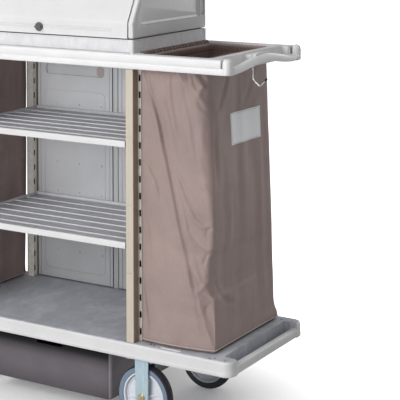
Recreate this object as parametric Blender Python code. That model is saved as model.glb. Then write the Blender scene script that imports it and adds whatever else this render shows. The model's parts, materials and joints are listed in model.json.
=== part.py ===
"""Housekeeping cart with two decks, shelves, a hood, linen bags and casters.

Frame: origin on the floor under the middle of the cart, +X toward the end with
the rigid casters, -Y toward the front (the side the hood lid opens on), +Z up.
"left" is -X and "right" is +X. Units are metres.
"""
import math

import bmesh
import bpy
from mathutils import Matrix, Vector

# ---------------------------------------------------------- shared dimensions
HALF_L, HALF_W = 0.700, 0.232         # decks, half length and half width
CORNER_R = 0.028                      # deck corner radius in plan
GAP = 0.0004                          # clearance between touching pieces
PAST = 0.010                          # unit by which cutting shapes overrun a surface

LOW_Z0, LOW_Z1 = 0.2125, 0.2585       # lower deck underside and top
TOP_Z0, TOP_Z1 = 1.0785, 1.1235       # top deck underside and top
BETWEEN_DECKS = (LOW_Z1 + GAP, TOP_Z0 - GAP)
UNDER_DECK_Z = LOW_Z0 - GAP           # top of what hangs under the lower deck

# ---------------------------------------------------------------------- looks
POLYMER = dict(color=(0.60, 0.60, 0.62), roughness=0.55)
BEIGE = dict(color=(0.61, 0.56, 0.45), roughness=0.6)
CREAM_STEEL = dict(color=(0.55, 0.52, 0.46), roughness=0.45, metallic=0.2)
SHELF_GREY = dict(color=(0.36, 0.38, 0.42), roughness=0.55)
PANEL_GREY = dict(color=(0.34, 0.36, 0.40), roughness=0.6)
DARK = dict(color=(0.09, 0.085, 0.09), roughness=0.6)
ZINC = dict(color=(0.55, 0.66, 0.72), roughness=0.35, metallic=0.9)
STEEL = dict(color=(0.62, 0.62, 0.64), roughness=0.3, metallic=1.0)
TYRE = dict(color=(0.045, 0.04, 0.045), roughness=0.7)
HUB = dict(color=(0.55, 0.56, 0.58), roughness=0.5)
FABRIC = dict(color=(0.30, 0.25, 0.22), roughness=0.95)

SIGNS = (-1, 1)
SIDES = (("left", -1), ("right", 1))          # name and sign of X
ENDS = (("front", -1), ("rear", 1))           # name and sign of Y
CORNERS = [(x_sign, y_sign) for x_sign in SIGNS for y_sign in SIGNS]


# -------------------------------------------------------------- spans, outlines
def span(sign, inner, outer, centre=0.0):
    """Rising range between two distances from the centre, on one side of it."""
    return tuple(sorted((centre + sign * inner, centre + sign * outer)))


def around(centre, half):
    return (centre - half, centre + half)


def grown(limits, amount):
    return (limits[0] - amount, limits[1] + amount)


def shifted(points, x, y):
    return [(x + u, y + v) for u, v in points]


def mirrored(points, sign):
    """Points with their first coordinate multiplied by the sign."""
    return [(sign * u, v) for u, v in points]


def round_rect(xs, ys, radius, segments=4):
    (x0, x1), (y0, y1) = grown(xs, -radius), grown(ys, -radius)
    points = []
    for x, y, start in ((x1, y1, 0), (x0, y1, 90), (x0, y0, 180), (x1, y0, 270)):
        for i in range(segments + 1):
            angle = math.radians(start + 90.0 * i / segments)
            points.append((x + radius * math.cos(angle), y + radius * math.sin(angle)))
    return points


def circle(x, y, radius, segments):
    angles = (2 * math.pi * i / segments for i in range(segments))
    return [(x + radius * math.cos(a), y + radius * math.sin(a)) for a in angles]


# --------------------------------------------------------------------- shapes
# Each returns a bmesh in world coordinates, adding to `into` when it is given.
def box(xs, ys, zs, into=None):
    shape = bmesh.new() if into is None else into
    middle = [(lo + hi) / 2 for lo, hi in (xs, ys, zs)]
    size = [hi - lo for lo, hi in (xs, ys, zs)]
    matrix = Matrix.Translation(middle) @ Matrix.Diagonal((*size, 1))
    bmesh.ops.create_cube(shape, size=1.0, matrix=matrix)
    return shape


def prism(outline, axis, limits, into=None):
    """Closed outline of 2-D points swept between two limits along an axis."""
    shape = bmesh.new() if into is None else into

    def oriented(u, v, depth):
        return {'X': (depth, u, v), 'Y': (u, depth, v), 'Z': (u, v, depth)}[axis]

    start, stop = limits
    face = shape.faces.new([shape.verts.new(oriented(u, v, start)) for u, v in outline])
    result = bmesh.ops.extrude_face_region(shape, geom=[face])
    moved = [item for item in result["geom"] if isinstance(item, bmesh.types.BMVert)]
    bmesh.ops.translate(shape, verts=moved, vec=oriented(0, 0, stop - start))
    return shape


def lathe(profile, centre, axis, segments, phase=0.0, into=None):
    """Revolve (radius, height) points about an axis through the centre.

    A profile that starts at radius zero closes on the axis. Any other profile
    is taken as a closed loop around the axis.
    """
    shape = bmesh.new() if into is None else into
    centre = Vector(centre)

    def vertex(radius, height, angle):
        u, v = radius * math.cos(angle), radius * math.sin(angle)
        offset = {'X': (height, u, v), 'Y': (u, height, v), 'Z': (u, v, height)}[axis]
        return shape.verts.new(centre + Vector(offset))

    rings = []
    for radius, height in profile:
        if radius == 0:
            rings.append([vertex(0, height, 0)])
        else:
            rings.append([vertex(radius, height, phase + 2 * math.pi * i / segments)
                          for i in range(segments)])
    is_loop = profile[0][0] != 0
    for k in range(len(rings) if is_loop else len(rings) - 1):
        low, high = rings[k], rings[(k + 1) % len(rings)]
        for i in range(segments):
            j = (i + 1) % segments
            corners = [low[i % len(low)], low[j % len(low)],
                       high[j % len(high)], high[i % len(high)]]
            # a pole gives the same vertex twice
            shape.faces.new(list(dict.fromkeys(corners)))
    return shape


def sweep(points, sections, closed=False, up=(0, 0, 1)):
    """Join sections of (side, up) offsets, one at each point of a path."""
    shape = bmesh.new()
    count = len(points)
    up = Vector(up)
    rings = []
    for i, (point, section) in enumerate(zip(points, sections)):
        before = Vector(points[i - 1] if closed or i > 0 else point)
        after = Vector(points[(i + 1) % count] if closed or i < count - 1 else point)
        tangent = (after - before).normalized()
        side = tangent.cross(up).normalized()
        top = side.cross(tangent).normalized()
        rings.append([shape.verts.new(Vector(point) + side * u + top * v)
                      for u, v in section])
    for i in range(count if closed else count - 1):
        ring, following = rings[i], rings[(i + 1) % count]
        for k in range(len(ring)):
            j = (k + 1) % len(ring)
            shape.faces.new((ring[k], ring[j], following[j], following[k]))
    if not closed:
        shape.faces.new(rings[0])
        shape.faces.new(rings[-1])
    return shape


# -------------------------------------------------------------------- objects
def material(name, color, roughness, metallic=0.0):
    mat = bpy.data.materials.new(name)
    mat.use_nodes = True
    inputs = mat.node_tree.nodes["Principled BSDF"].inputs
    inputs["Base Color"].default_value = (*color, 1.0)
    inputs["Roughness"].default_value = roughness
    inputs["Metallic"].default_value = metallic
    return mat


def link_object(name, shape):
    mesh = bpy.data.meshes.new(name)
    shape.to_mesh(mesh)
    shape.free()
    piece = bpy.data.objects.new(name, mesh)
    bpy.context.scene.collection.objects.link(piece)
    return piece


def place(name, shape, look, origin=(0, 0, 0), smooth=None, parent=None):
    """Make a piece with its own material; smooth is the sharp angle in degrees."""
    bmesh.ops.recalc_face_normals(shape, faces=shape.faces)
    bmesh.ops.translate(shape, verts=shape.verts, vec=-Vector(origin))
    piece = link_object(name, shape)
    piece.location = origin
    if parent is not None:
        piece.parent = parent
        piece.location = Vector(origin) - parent.location
    piece.data.materials.append(material(name + "_mat", **look))
    if smooth is not None:
        piece.data.shade_smooth()
        piece.data.set_sharp_from_angle(angle=math.radians(smooth))
    return piece


def cut(piece, name, shape, operation='DIFFERENCE'):
    """Subtract a shape, kept as a hidden helper object, from a piece."""
    bmesh.ops.recalc_face_normals(shape, faces=shape.faces)
    tool = link_object(name, shape)
    tool.hide_render = True
    tool.display_type = 'WIRE'
    modifier = piece.modifiers.new(name, 'BOOLEAN')
    modifier.operation = operation
    modifier.solver = 'EXACT'
    modifier.object = tool


def fuse(piece, name, shape):
    cut(piece, name, shape, 'UNION')


# ----------------------------------------------------------------- lower deck
TROUGH_IN, TROUGH_OUT = 0.655, 0.675  # end trough, |X| of its two edges
TROUGH_Y = 0.190                      # half length of the trough
TROUGH_R = 0.0095
TROUGH_Z0 = 0.2190                    # floor of the trough
BUMPER_Z1 = 0.2410                    # top of the outer bumper bar
BUMPER_LAP = 0.004                    # overlap of the bumper cut with the trough


def deck_slab(name, bottom, top):
    outline = round_rect(around(0, HALF_L), around(0, HALF_W), CORNER_R)
    return place(name, prism(outline, 'Z', (bottom, top)), POLYMER)


def lower_deck():
    deck = deck_slab("lower_deck", LOW_Z0, LOW_Z1)
    troughs, bumpers = bmesh.new(), bmesh.new()
    for sign in SIGNS:
        outline = round_rect(span(sign, TROUGH_IN, TROUGH_OUT), around(0, TROUGH_Y),
                             TROUGH_R, 3)
        prism(outline, 'Z', (TROUGH_Z0, LOW_Z1 + 2 * PAST), troughs)
        box(span(sign, TROUGH_OUT - BUMPER_LAP, HALF_L + PAST), around(0, TROUGH_Y),
            (BUMPER_Z1, LOW_Z1 + 2 * PAST), bumpers)
    cut(deck, "trough_cut", troughs)
    cut(deck, "bumper_cut", bumpers)


# ------------------------------------------------------------------- top deck
BAG_X0, BAG_X1 = 0.376, 0.622         # bag opening, |X|
BAG_YS = (-0.202, 0.208)
BAG_OPENING_R = 0.018
GRIP_IN, GRIP_OUT = 0.645, 0.672      # hand holes beside the end bar, |X|
GRIP_Y, GRIP_R = 0.190, 0.010
WEB_Y = 0.045                         # |Y| of the hand hole edge beside the web
WEB_INSET = 0.003                     # web side, in from that edge
WEB_ZS = (1.1010, 1.1190)
HOLLOW_X, HOLLOW_Y = 0.330, 0.205     # hollow under the deck, half sizes
DECK_SKIN = 0.022                     # thickness left over the hollow
BAR_SPACE_Y = 0.198                   # half length of the space for the end bar

BAR_A = 0.014                         # end bar half width
BAR_Z_END, BAR_RISE = 1.0868, 0.0212  # end bar centre height and arch
BAR_H_END, BAR_H_ADD = 0.0095, 0.0035  # end bar half height and its growth
BAR_Y = 0.206                         # end bar half length
BAR_STEPS = 14

KNOB_R, KNOB_UP = 0.0145, 0.0024      # corner posts, radius and height over the deck
KNOB_X, KNOB_Y = (half - KNOB_R - 0.0001 for half in (HALF_L, HALF_W))
STEP_X, STEP_Y, STEP_Z = 0.6712, 0.1960, 1.1005   # inner edges and floor of corner step
# plan of the corner step, (|X|, |Y|)
STEP_OUTLINE = [
    (STEP_X, STEP_Y), (HALF_L + PAST, STEP_Y), (HALF_L + PAST, HALF_W + PAST),
    (KNOB_X, HALF_W + PAST), (KNOB_X, KNOB_Y), (STEP_X, KNOB_Y)]
# corner post, (radius, z)
KNOB_PROFILE = [
    (0, TOP_Z0 + 0.004), (KNOB_R, TOP_Z0 + 0.004), (KNOB_R, TOP_Z1 - 0.0035),
    (KNOB_R - 0.0045, TOP_Z1 + KNOB_UP), (0, TOP_Z1 + KNOB_UP)]


def bar_arch(y):
    """0 at the ends of the end bar, 1 in its middle."""
    return (1 + math.cos(math.pi * y / BAR_Y)) / 2


def bar_centre_z(y):
    return BAR_Z_END + BAR_RISE * bar_arch(y)


def bar_half_height(y):
    return BAR_H_END + BAR_H_ADD * bar_arch(y) ** 0.5


def bar_section(y):
    """Ten-sided oval, a hair narrower than the bar's nominal width."""
    angles = (2 * math.pi * (k + 0.5) / 10 for k in range(10))
    return [(BAR_A * math.cos(a) * 0.999, bar_half_height(y) * math.sin(a))
            for a in angles]


def deck_openings():
    """Bag openings, hand holes and the hollow under the middle."""
    shape = bmesh.new()
    for sign in SIGNS:
        prism(round_rect(span(sign, BAG_X0, BAG_X1), BAG_YS, BAG_OPENING_R, 3), 'Z',
              (TOP_Z0 - PAST, TOP_Z1 + 2 * PAST), shape)
        for y_sign in SIGNS:
            hole = round_rect(span(sign, GRIP_IN, GRIP_OUT),
                              span(y_sign, WEB_Y, GRIP_Y), GRIP_R, 3)
            prism(hole, 'Z', (TOP_Z0 - PAST, TOP_Z1 + 3 * PAST), shape)
    return box(around(0, HOLLOW_X), around(0, HOLLOW_Y),
               (TOP_Z0 - PAST, TOP_Z1 - DECK_SKIN), shape)


def top_deck():
    deck = deck_slab("top_deck", TOP_Z0, TOP_Z1)
    cut(deck, "top_openings_cut", deck_openings())
    bar_space, steps, knobs = bmesh.new(), bmesh.new(), bmesh.new()
    for sign in SIGNS:
        box(span(sign, GRIP_OUT - 0.003, HALF_L + PAST), around(0, BAR_SPACE_Y),
            (TOP_Z0 - PAST, TOP_Z1 + 2 * PAST), bar_space)
    # the deck steps down round each corner, where a rounded post stands
    for x_sign, y_sign in CORNERS:
        prism([(x_sign * x, y_sign * y) for x, y in STEP_OUTLINE], 'Z',
              (STEP_Z, TOP_Z1 + 2 * PAST), steps)
        lathe(KNOB_PROFILE, (x_sign * KNOB_X, y_sign * KNOB_Y, 0), 'Z', 18, into=knobs)
    cut(deck, "bar_space_cut", bar_space)
    cut(deck, "corner_step_cut", steps)
    fuse(deck, "corner_posts", knobs)

    stations = [BAR_Y * (2 * i / BAR_STEPS - 1) for i in range(BAR_STEPS + 1)]
    for side, sign in SIDES:
        path = [(sign * (HALF_L - BAR_A), y, bar_centre_z(y)) for y in stations]
        fuse(deck, "bar_" + side, sweep(path, [bar_section(y) for y in stations]))
        # web that ties the middle of the bar to the inner rail
        fuse(deck, "web_" + side,
             box(span(sign, GRIP_IN - 0.004, HALF_L - 0.020),
                 around(0, WEB_Y - WEB_INSET), WEB_ZS))


# ------------------------------------------------------------------- uprights
POST_X, POST_HX = 0.3500, 0.0125      # |X| of the tube centre, tube half width
POST_Y0, POST_Y1 = 0.184, 0.224       # |Y| of the tube's two Y faces
POST_WALL = 0.002
SLOT_Y = 0.1915                       # |Y| of the slot row on the inner side
SLOT_W, SLOT_H = 0.008, 0.019
SLOT_PITCH, SLOT_TOP, SLOT_N = 0.0508, 1.0489, 16
SLOT_ZS = [SLOT_TOP - k * SLOT_PITCH for k in range(SLOT_N)]
FLANGE_X = 0.3728                     # |X| of the flange edge beside the bag
FLANGE_Y0, FLANGE_Y1 = 0.1940, 0.1958
FLANGE_SLOT_X, FLANGE_SLOT_W = 0.3683, 0.0058
COVER_HX = 0.0145                     # cover half width
COVER_Y0, COVER_Y1 = 0.198, 0.226     # |Y| of the cover
COVER_WALL, COVER_BEVEL = 0.0016, 0.003
COVER_IN = COVER_HX - COVER_WALL
# U-shaped cover in plan, (x from the tube centre, |Y|)
COVER_OUTLINE = [
    (-COVER_HX, COVER_Y0), (-COVER_HX, COVER_Y1 - COVER_BEVEL),
    (-COVER_HX + COVER_BEVEL, COVER_Y1), (COVER_HX - COVER_BEVEL, COVER_Y1),
    (COVER_HX, COVER_Y1 - COVER_BEVEL), (COVER_HX, COVER_Y0),
    (COVER_IN, COVER_Y0), (COVER_IN, COVER_Y1 - COVER_WALL),
    (-COVER_IN, COVER_Y1 - COVER_WALL), (-COVER_IN, COVER_Y0)]


def upright(tag, x_sign, y_sign):
    x = x_sign * POST_X
    xs, ys = around(x, POST_HX), span(y_sign, POST_Y0, POST_Y1)
    flange_ys = span(y_sign, FLANGE_Y0, FLANGE_Y1)
    post = place("upright_" + tag, box(xs, ys, BETWEEN_DECKS), CREAM_STEEL)
    cut(post, "upright_bore_" + tag,
        box(grown(xs, -POST_WALL), grown(ys, -POST_WALL), grown(BETWEEN_DECKS, 2 * PAST)))
    # slotted flange that stands out toward the bag
    fuse(post, "flange_" + tag,
         box(span(x_sign, POST_X + POST_HX - 0.001, FLANGE_X), flange_ys, BETWEEN_DECKS))
    # slots for the brackets on the inner side, and through the flange
    slots = bmesh.new()
    for z in SLOT_ZS:
        box(span(x_sign, POST_X - POST_HX - PAST, POST_X),
            around(y_sign * SLOT_Y, SLOT_W / 2), around(z, SLOT_H / 2), slots)
        box(around(x_sign * FLANGE_SLOT_X, FLANGE_SLOT_W / 2),
            grown(flange_ys, PAST / 2), around(z, SLOT_H / 2), slots)
    cut(post, "slots_" + tag, slots)
    # cover over the outer Y face of the tube
    outline = [(x + u, y_sign * y) for u, y in COVER_OUTLINE]
    place("upright_cover_" + tag, prism(outline, 'Z', BETWEEN_DECKS), BEIGE)


# ------------------------------------------------------------------ rear wall
PANEL_Y0, PANEL_Y1 = 0.208, 0.220
PANEL_X = 0.3345                      # outer |X| of the panels
MULLION_X = 0.009                     # mullion half width
MULLION_PROUD = 0.003                 # mullion in front of the panels
# recesses in the front face: inner |X|, outer |X|, z span, corner radius, depth
PANEL_RECESSES = (
    (0.043, 0.303, (0.293, 0.930), 0.020, 0.003),
    (0.048, 0.298, (0.971, 1.004), 0.010, 0.006))


def rear_wall():
    place("rear_mullion", box(around(0, MULLION_X), (PANEL_Y0 - MULLION_PROUD, PANEL_Y1),
                              BETWEEN_DECKS), PANEL_GREY)
    for side, sign in SIDES:
        panel = place("rear_panel_" + side,
                      box(span(sign, MULLION_X + GAP, PANEL_X), (PANEL_Y0, PANEL_Y1),
                          BETWEEN_DECKS), PANEL_GREY)
        recesses = bmesh.new()
        for inner, outer, zs, radius, depth in PANEL_RECESSES:
            prism(round_rect(span(sign, inner, outer), zs, radius, 3), 'Y',
                  (PANEL_Y0 - PAST, PANEL_Y0 + depth), recesses)
        cut(panel, "panel_recess_" + side, recesses)


# -------------------------------------------------------- shelves and brackets
SHELF_X, SHELF_YS = 0.3345, (-0.228, 0.2040)
SHELF_TOPS = {"upper": 0.8605, "lower": 0.5565}
SHELF_LIP = 0.0195                    # overall shelf height
SHELF_RIM = 0.008                     # width of the rim
SHELF_FLOOR = 0.004                   # thickness under the channels
RECESS_DEPTH = 0.004                  # rib tops below the rim
RIB_N, CHANNEL_SHARE = 7, 0.72        # rib pitches, part of each taken by the channel
BRACKET_X0, BRACKET_X1 = 0.3050, 0.3350
BRACKET_T = 0.0025                    # sheet thickness
BRACKET_Y = 0.2005                    # half length
BRACKET_DROP = 0.012                  # nominal tab centre below the shelf
TAB_X0, TAB_X1, TAB_HY, TAB_HZ = 0.3348, 0.3430, 0.003, 0.0075


def shelf(level, top):
    bottom = top - SHELF_LIP
    piece = place("shelf_" + level, box(around(0, SHELF_X), SHELF_YS, (bottom, top)),
                  SHELF_GREY)
    inner_xs, inner_ys = around(0, SHELF_X - SHELF_RIM), grown(SHELF_YS, -SHELF_RIM)
    pitch = (inner_ys[1] - inner_ys[0]) / RIB_N
    # channels between the ribs, then the shallow recess over the rib tops
    channels = bmesh.new()
    for k in range(RIB_N):
        start = inner_ys[0] + k * pitch
        box(inner_xs, (start, start + pitch * CHANNEL_SHARE),
            (bottom + SHELF_FLOOR, top + PAST), channels)
    cut(piece, "shelf_channels_" + level, channels)
    cut(piece, "shelf_recess_" + level,
        box(inner_xs, grown(inner_ys, -0.0001), (top - RECESS_DEPTH, top + 2 * PAST)))
    for side, sign in SIDES:
        shelf_bracket("%s_%s" % (level, side), sign, bottom)


def shelf_bracket(tag, sign, shelf_bottom):
    """Angle rail under the shelf end, with a tab into one slot at each end."""
    slot_z = min(SLOT_ZS, key=lambda z: abs(z - (shelf_bottom - BRACKET_DROP)))
    top, inner_x = shelf_bottom - GAP, BRACKET_X1 - BRACKET_T
    profile = [(BRACKET_X0, top - BRACKET_T), (BRACKET_X0, top), (BRACKET_X1, top),
               (BRACKET_X1, slot_z - 0.012), (inner_x, slot_z - 0.012),
               (inner_x, top - BRACKET_T)]
    bracket = place("shelf_bracket_" + tag,
                    prism(mirrored(profile, sign), 'Y', around(0, BRACKET_Y)),
                    CREAM_STEEL)
    for y_sign in SIGNS:
        fuse(bracket, "tab_%s_%d" % (tag, y_sign),
             box(span(sign, TAB_X0, TAB_X1), around(y_sign * SLOT_Y, TAB_HY),
                 around(slot_z, TAB_HZ)))


# ----------------------------------------------------------------------- hood
HOOD_X = 0.354                        # hood half length over its side panels
HOOD_Y0, HOOD_Y1 = -0.210, 0.220
HOOD_Z0 = TOP_Z1 + GAP
RISER_Z1 = 1.1635                     # top of the hood base
HOOD_KNEE_Z = 1.2140                  # top of the lid's vertical front
HOOD_TOP_Y, HOOD_Z1 = -0.1140, 1.4000
WELL_X, WELL_Z = 0.328, HOOD_Z0 + 0.004     # base well half length and floor
SIDE_T = 0.0195                       # side panel thickness
IN_X = HOOD_X - SIDE_T - 0.0006       # half length between the side panels
BACK_Z1 = 1.3790
HINGE_Y, HINGE_Z, HINGE_R = 0.2080, 1.3905, 0.0075
PIN_R, PIN_BORE_R = 0.0030, 0.0034
LID_T = 0.005                         # lid shell
LID_Z0 = RISER_Z1 + 0.0006
LATCH_Z, LATCH_BORE_R = 1.1880, 0.0086
# side panel, (y, z)
HOOD_SIDE_OUTLINE = [
    (HOOD_Y0, RISER_Z1 + GAP), (HOOD_Y1, RISER_Z1 + GAP), (HOOD_Y1, HOOD_Z1 - 0.010),
    (HOOD_Y1 - 0.010, HOOD_Z1), (HOOD_TOP_Y + 0.008, HOOD_Z1),
    (HOOD_TOP_Y - 0.006, HOOD_Z1 - 0.008), (HOOD_Y0, HOOD_KNEE_Z)]
# sunk field in the outer face of the side panel, (y, z), and its depth
FIELD_OUTLINE = [
    (HOOD_Y0 + 0.047, 1.2120), (0.183, 1.2120), (0.183, HOOD_Z1 - 0.020),
    (HOOD_TOP_Y + 0.030, HOOD_Z1 - 0.020), (HOOD_Y0 + 0.047, 1.2600)]
FIELD_DEPTH = 0.006
# lid knob and shank, (radius, y from the lid front)
LATCH_PROFILE = [
    (0, -0.0055), (0.0130, -0.0055), (0.0140, -0.0040), (0.0140, -0.0006),
    (0.0080, -0.0006), (0.0080, 0.0084), (0, 0.0084)]


def hood_body():
    base = place("hood_base", prism(
        round_rect(around(0, HOOD_X), (HOOD_Y0, HOOD_Y1), 0.008, 3), 'Z',
        (HOOD_Z0, RISER_Z1)), POLYMER)
    well = round_rect(around(0, WELL_X), (HOOD_Y0 + 0.006, HOOD_Y1 - 0.008), 0.006, 2)
    cut(base, "hood_base_well", prism(well, 'Z', (WELL_Z, RISER_Z1 + 2 * PAST)))
    inner = HOOD_X - SIDE_T
    for side, sign in SIDES:
        panel = place("hood_side_" + side, prism(
            HOOD_SIDE_OUTLINE, 'X', span(sign, inner, HOOD_X - 0.0005)), POLYMER)
        cut(panel, "hood_side_field_" + side, prism(
            FIELD_OUTLINE, 'X', span(sign, HOOD_X - FIELD_DEPTH, HOOD_X + PAST)))
        cut(panel, "hinge_bore_" + side, prism(
            circle(HINGE_Y, HINGE_Z, PIN_BORE_R, 16), 'X',
            span(sign, inner - PAST, inner + 0.0105)))
    place("hood_back", box(around(0, IN_X), (HOOD_Y1 - 0.006, HOOD_Y1 - 0.0002),
                           (RISER_Z1 + GAP, BACK_Z1)), POLYMER)


def hood_lid():
    """Bent shell that ends at the rear in a hinge barrel."""
    barrel = [(HINGE_Y + HINGE_R * math.cos(a), HINGE_Z + HINGE_R * math.sin(a))
              for a in (math.radians(90 - 18 * k) for k in range(14))]
    outline = [
        (HOOD_Y0, LID_Z0), (HOOD_Y0, HOOD_KNEE_Z), (HOOD_TOP_Y, HOOD_Z1),
        (HINGE_Y - 0.010, HOOD_Z1), *barrel, (HINGE_Y - 0.010, HOOD_Z1 - LID_T),
        (HOOD_TOP_Y + 0.004, HOOD_Z1 - LID_T),
        (HOOD_Y0 + LID_T, HOOD_KNEE_Z - 0.0012), (HOOD_Y0 + LID_T, LID_Z0)]
    lid = place("hood_lid", prism(outline, 'X', around(0, IN_X - 0.0004)),
                POLYMER, origin=(0, HINGE_Y, HINGE_Z))
    bores = bmesh.new()
    for sign in SIGNS:
        prism(circle(HINGE_Y, HINGE_Z, PIN_BORE_R, 16), 'X',
              span(sign, IN_X - 0.022, IN_X + PAST), bores)
    prism(circle(0.0, LATCH_Z, LATCH_BORE_R, 20), 'Y',
          (HOOD_Y0 - PAST, HOOD_Y0 + 2 * PAST), bores)
    cut(lid, "lid_bores", bores)
    for side, sign in SIDES:
        start, stop = sign * (IN_X - 0.020), sign * (IN_X + 0.0095)
        place("hinge_pin_" + side,
              lathe([(0, start), (PIN_R, start), (PIN_R, stop), (0, stop)],
                    (0, HINGE_Y, HINGE_Z), 'X', 16), STEEL, smooth=40)


def lid_latch():
    """Thumb turn: a knob with a wing in front and a tongue behind the lid front."""
    centre = (0, HOOD_Y0, LATCH_Z)
    latch = place("lid_latch", lathe(LATCH_PROFILE, centre, 'Y', 20), DARK,
                  origin=centre, smooth=40)
    fuse(latch, "latch_wing",
         box(around(0, 0.0115), (HOOD_Y0 - 0.0125, HOOD_Y0 - 0.0040),
             around(LATCH_Z, 0.0025)))
    fuse(latch, "latch_tongue",
         box((-0.0060, 0.0360), (HOOD_Y0 + 0.0070, HOOD_Y0 + 0.0090),
             around(LATCH_Z, 0.0060)))


# --------------------------------------------------------------- organizer tray
TRAY_X, TRAY_Y0, TRAY_Y1 = 0.300, -0.150, 0.190
TRAY_WALL, TRAY_COLUMNS, TRAY_ROWS = 0.003, 3, 2
POCKET_X = (2 * TRAY_X - (TRAY_COLUMNS + 1) * TRAY_WALL) / TRAY_COLUMNS
POCKET_Y = (TRAY_Y1 - TRAY_Y0 - (TRAY_ROWS + 1) * TRAY_WALL) / TRAY_ROWS
POCKET_Z = HOOD_Z0 + 0.0075           # pocket floor


def organizer_tray():
    tray = place("organizer_tray", prism(
        round_rect(around(0, TRAY_X), (TRAY_Y0, TRAY_Y1), 0.012, 3), 'Z',
        (WELL_Z + GAP, RISER_Z1 - 0.002)), SHELF_GREY)
    pockets = bmesh.new()
    for i in range(TRAY_COLUMNS):
        for j in range(TRAY_ROWS):
            x = -TRAY_X + TRAY_WALL + i * (POCKET_X + TRAY_WALL)
            y = TRAY_Y0 + TRAY_WALL + j * (POCKET_Y + TRAY_WALL)
            prism(round_rect((x, x + POCKET_X), (y, y + POCKET_Y), 0.009, 2), 'Z',
                  (POCKET_Z, RISER_Z1 + PAST), pockets)
    cut(tray, "tray_pockets", pockets)


# ------------------------------------------------------------- bags and hoops
BAG_WALL, BAG_FLOOR, BAG_R = 0.003, 0.0035, 0.020
# inner |X|, outer |X|, y span, z
BAG_FOOT = (0.3760, 0.6220, (-0.1990, 0.2050), LOW_Z1 + 0.0015)
BAG_RIM = (0.3800, 0.5940, (-0.1970, 0.2030), 1.1090)
HOOP = (0.3825, 0.5915, (-0.1945, 0.2005), 1.1125)
HOOP_R, HOOP_WIRE_R = 0.018, 0.0025   # corner radius, wire radius


def bag_ring(station, sign, radius, wall=0.0, lift=0.0):
    """Rounded rectangle of 3-D points, moved in by the wall and up by the lift."""
    inner, outer, ys, z = station
    xs = span(sign, inner + wall, outer - wall)
    return [(x, y, z + lift) for x, y in
            round_rect(xs, grown(ys, -wall), radius - wall, 3)]


def linen_bag(side, sign):
    shape = bmesh.new()
    # up the outside, over the rim and down the inside
    outlines = [bag_ring(BAG_FOOT, sign, BAG_R), bag_ring(BAG_RIM, sign, BAG_R),
                bag_ring(BAG_RIM, sign, BAG_R, BAG_WALL),
                bag_ring(BAG_FOOT, sign, BAG_R, BAG_WALL, BAG_FLOOR)]
    rings = [[shape.verts.new(point) for point in outline] for outline in outlines]
    for ring, following in zip(rings[:-1], rings[1:]):
        for k in range(len(ring)):
            j = (k + 1) % len(ring)
            shape.faces.new((ring[k], ring[j], following[j], following[k]))
    shape.faces.new(rings[0])
    shape.faces.new(rings[-1])
    place("linen_bag_" + side, shape, FABRIC)


def bag_hoop(side, sign):
    loop = bag_ring(HOOP, sign, HOOP_R)
    wire = [circle(0, 0, HOOP_WIRE_R, 6)] * len(loop)
    place("bag_hoop_" + side, sweep(loop, wire, closed=True), STEEL, smooth=50)


# ----------------------------------------------------------------- wire hooks
HOOK_R, HOOK_X, HOOK_Y = 0.0021, 0.685, -0.064
HOOK_ORIGIN_Z = 1.0700
# shank end, tight bend and rising tip, (distance outward from the shank, z)
HOOK_BEND = [
    (0, 1.0540), (0.0008, 1.0505), (0.0030, 1.0475), (0.0205, 1.0322),
    (0.0235, 1.0310), (0.0262, 1.0325), (0.0460, 1.0540)]


def utility_hook(side, sign):
    x = sign * HOOK_X
    top = bar_centre_z(HOOK_Y) - bar_half_height(HOOK_Y) - 0.0010
    path = [(x + sign * out, HOOK_Y, z)
            for out, z in [(0, top), (0, top - 0.018)] + HOOK_BEND]
    wire = [circle(0, 0, HOOK_R, 8)] * len(path)
    place("utility_hook_" + side, sweep(path, wire, up=(0, 1, 0)), STEEL,
          origin=(x, HOOK_Y, HOOK_ORIGIN_Z), smooth=50)


# -------------------------------------------------------------------- casters
WHEEL_R, TYRE_HW, TYRE_RIN = 0.0921, 0.017, 0.0720
WHEEL_X, WHEEL_Y = 0.3764, 0.181      # rigid wheel |X|, |Y| of all wheels
SWIVEL_X, TRAIL = 0.377, 0.030
AXLE_R = 0.006
AXLE_HOLE_R, HUB_BORE_R = AXLE_R + 0.0003, AXLE_R + 0.0005
HUB_R = TYRE_RIN - 0.0005
LEG_HX, LEG_T, LEG_Y = 0.024, 0.004, 0.0200   # half width, thickness, inner face
LEG_OUT = LEG_Y + LEG_T
PLATE_HX, PLATE_HY, PLATE_T = 0.050, 0.038, 0.0045
FORK_Z, CROWN_ZS = 0.1900, (0.1885, 0.1925)   # swivel origin, crown plate
PEDAL_X, PEDAL_Z = -0.0465, 0.1975    # pedal pin: x from the wheel centre, z
# tyre section, (radius, y from the wheel centre)
TYRE_PROFILE = [
    (TYRE_RIN, -TYRE_HW), (WHEEL_R - 0.007, -TYRE_HW),
    (WHEEL_R - 0.0015, -TYRE_HW + 0.0045), (WHEEL_R, 0.0),
    (WHEEL_R - 0.0015, TYRE_HW - 0.0045), (WHEEL_R - 0.007, TYRE_HW),
    (TYRE_RIN, TYRE_HW)]
# hub section, same columns
HUB_PROFILE = [
    (HUB_BORE_R, -0.0155), (0.0160, -0.0155), (0.0240, -0.0060), (0.0600, -0.0070),
    (HUB_R, -0.0135), (HUB_R, 0.0135), (0.0600, 0.0070), (0.0240, 0.0060),
    (0.0160, 0.0155), (HUB_BORE_R, 0.0155)]
# axle bolt with its two heads, same columns
BOLT_PROFILE = [
    (0, -LEG_OUT - 0.0065), (0.0095, -LEG_OUT - 0.0065), (0.0105, -LEG_OUT - 0.0050),
    (0.0105, -LEG_OUT - 0.0004), (AXLE_R, -LEG_OUT - 0.0004),
    (AXLE_R, LEG_OUT + 0.0004), (0.0105, LEG_OUT + 0.0004),
    (0.0105, LEG_OUT + 0.0060), (0, LEG_OUT + 0.0060)]
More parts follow.
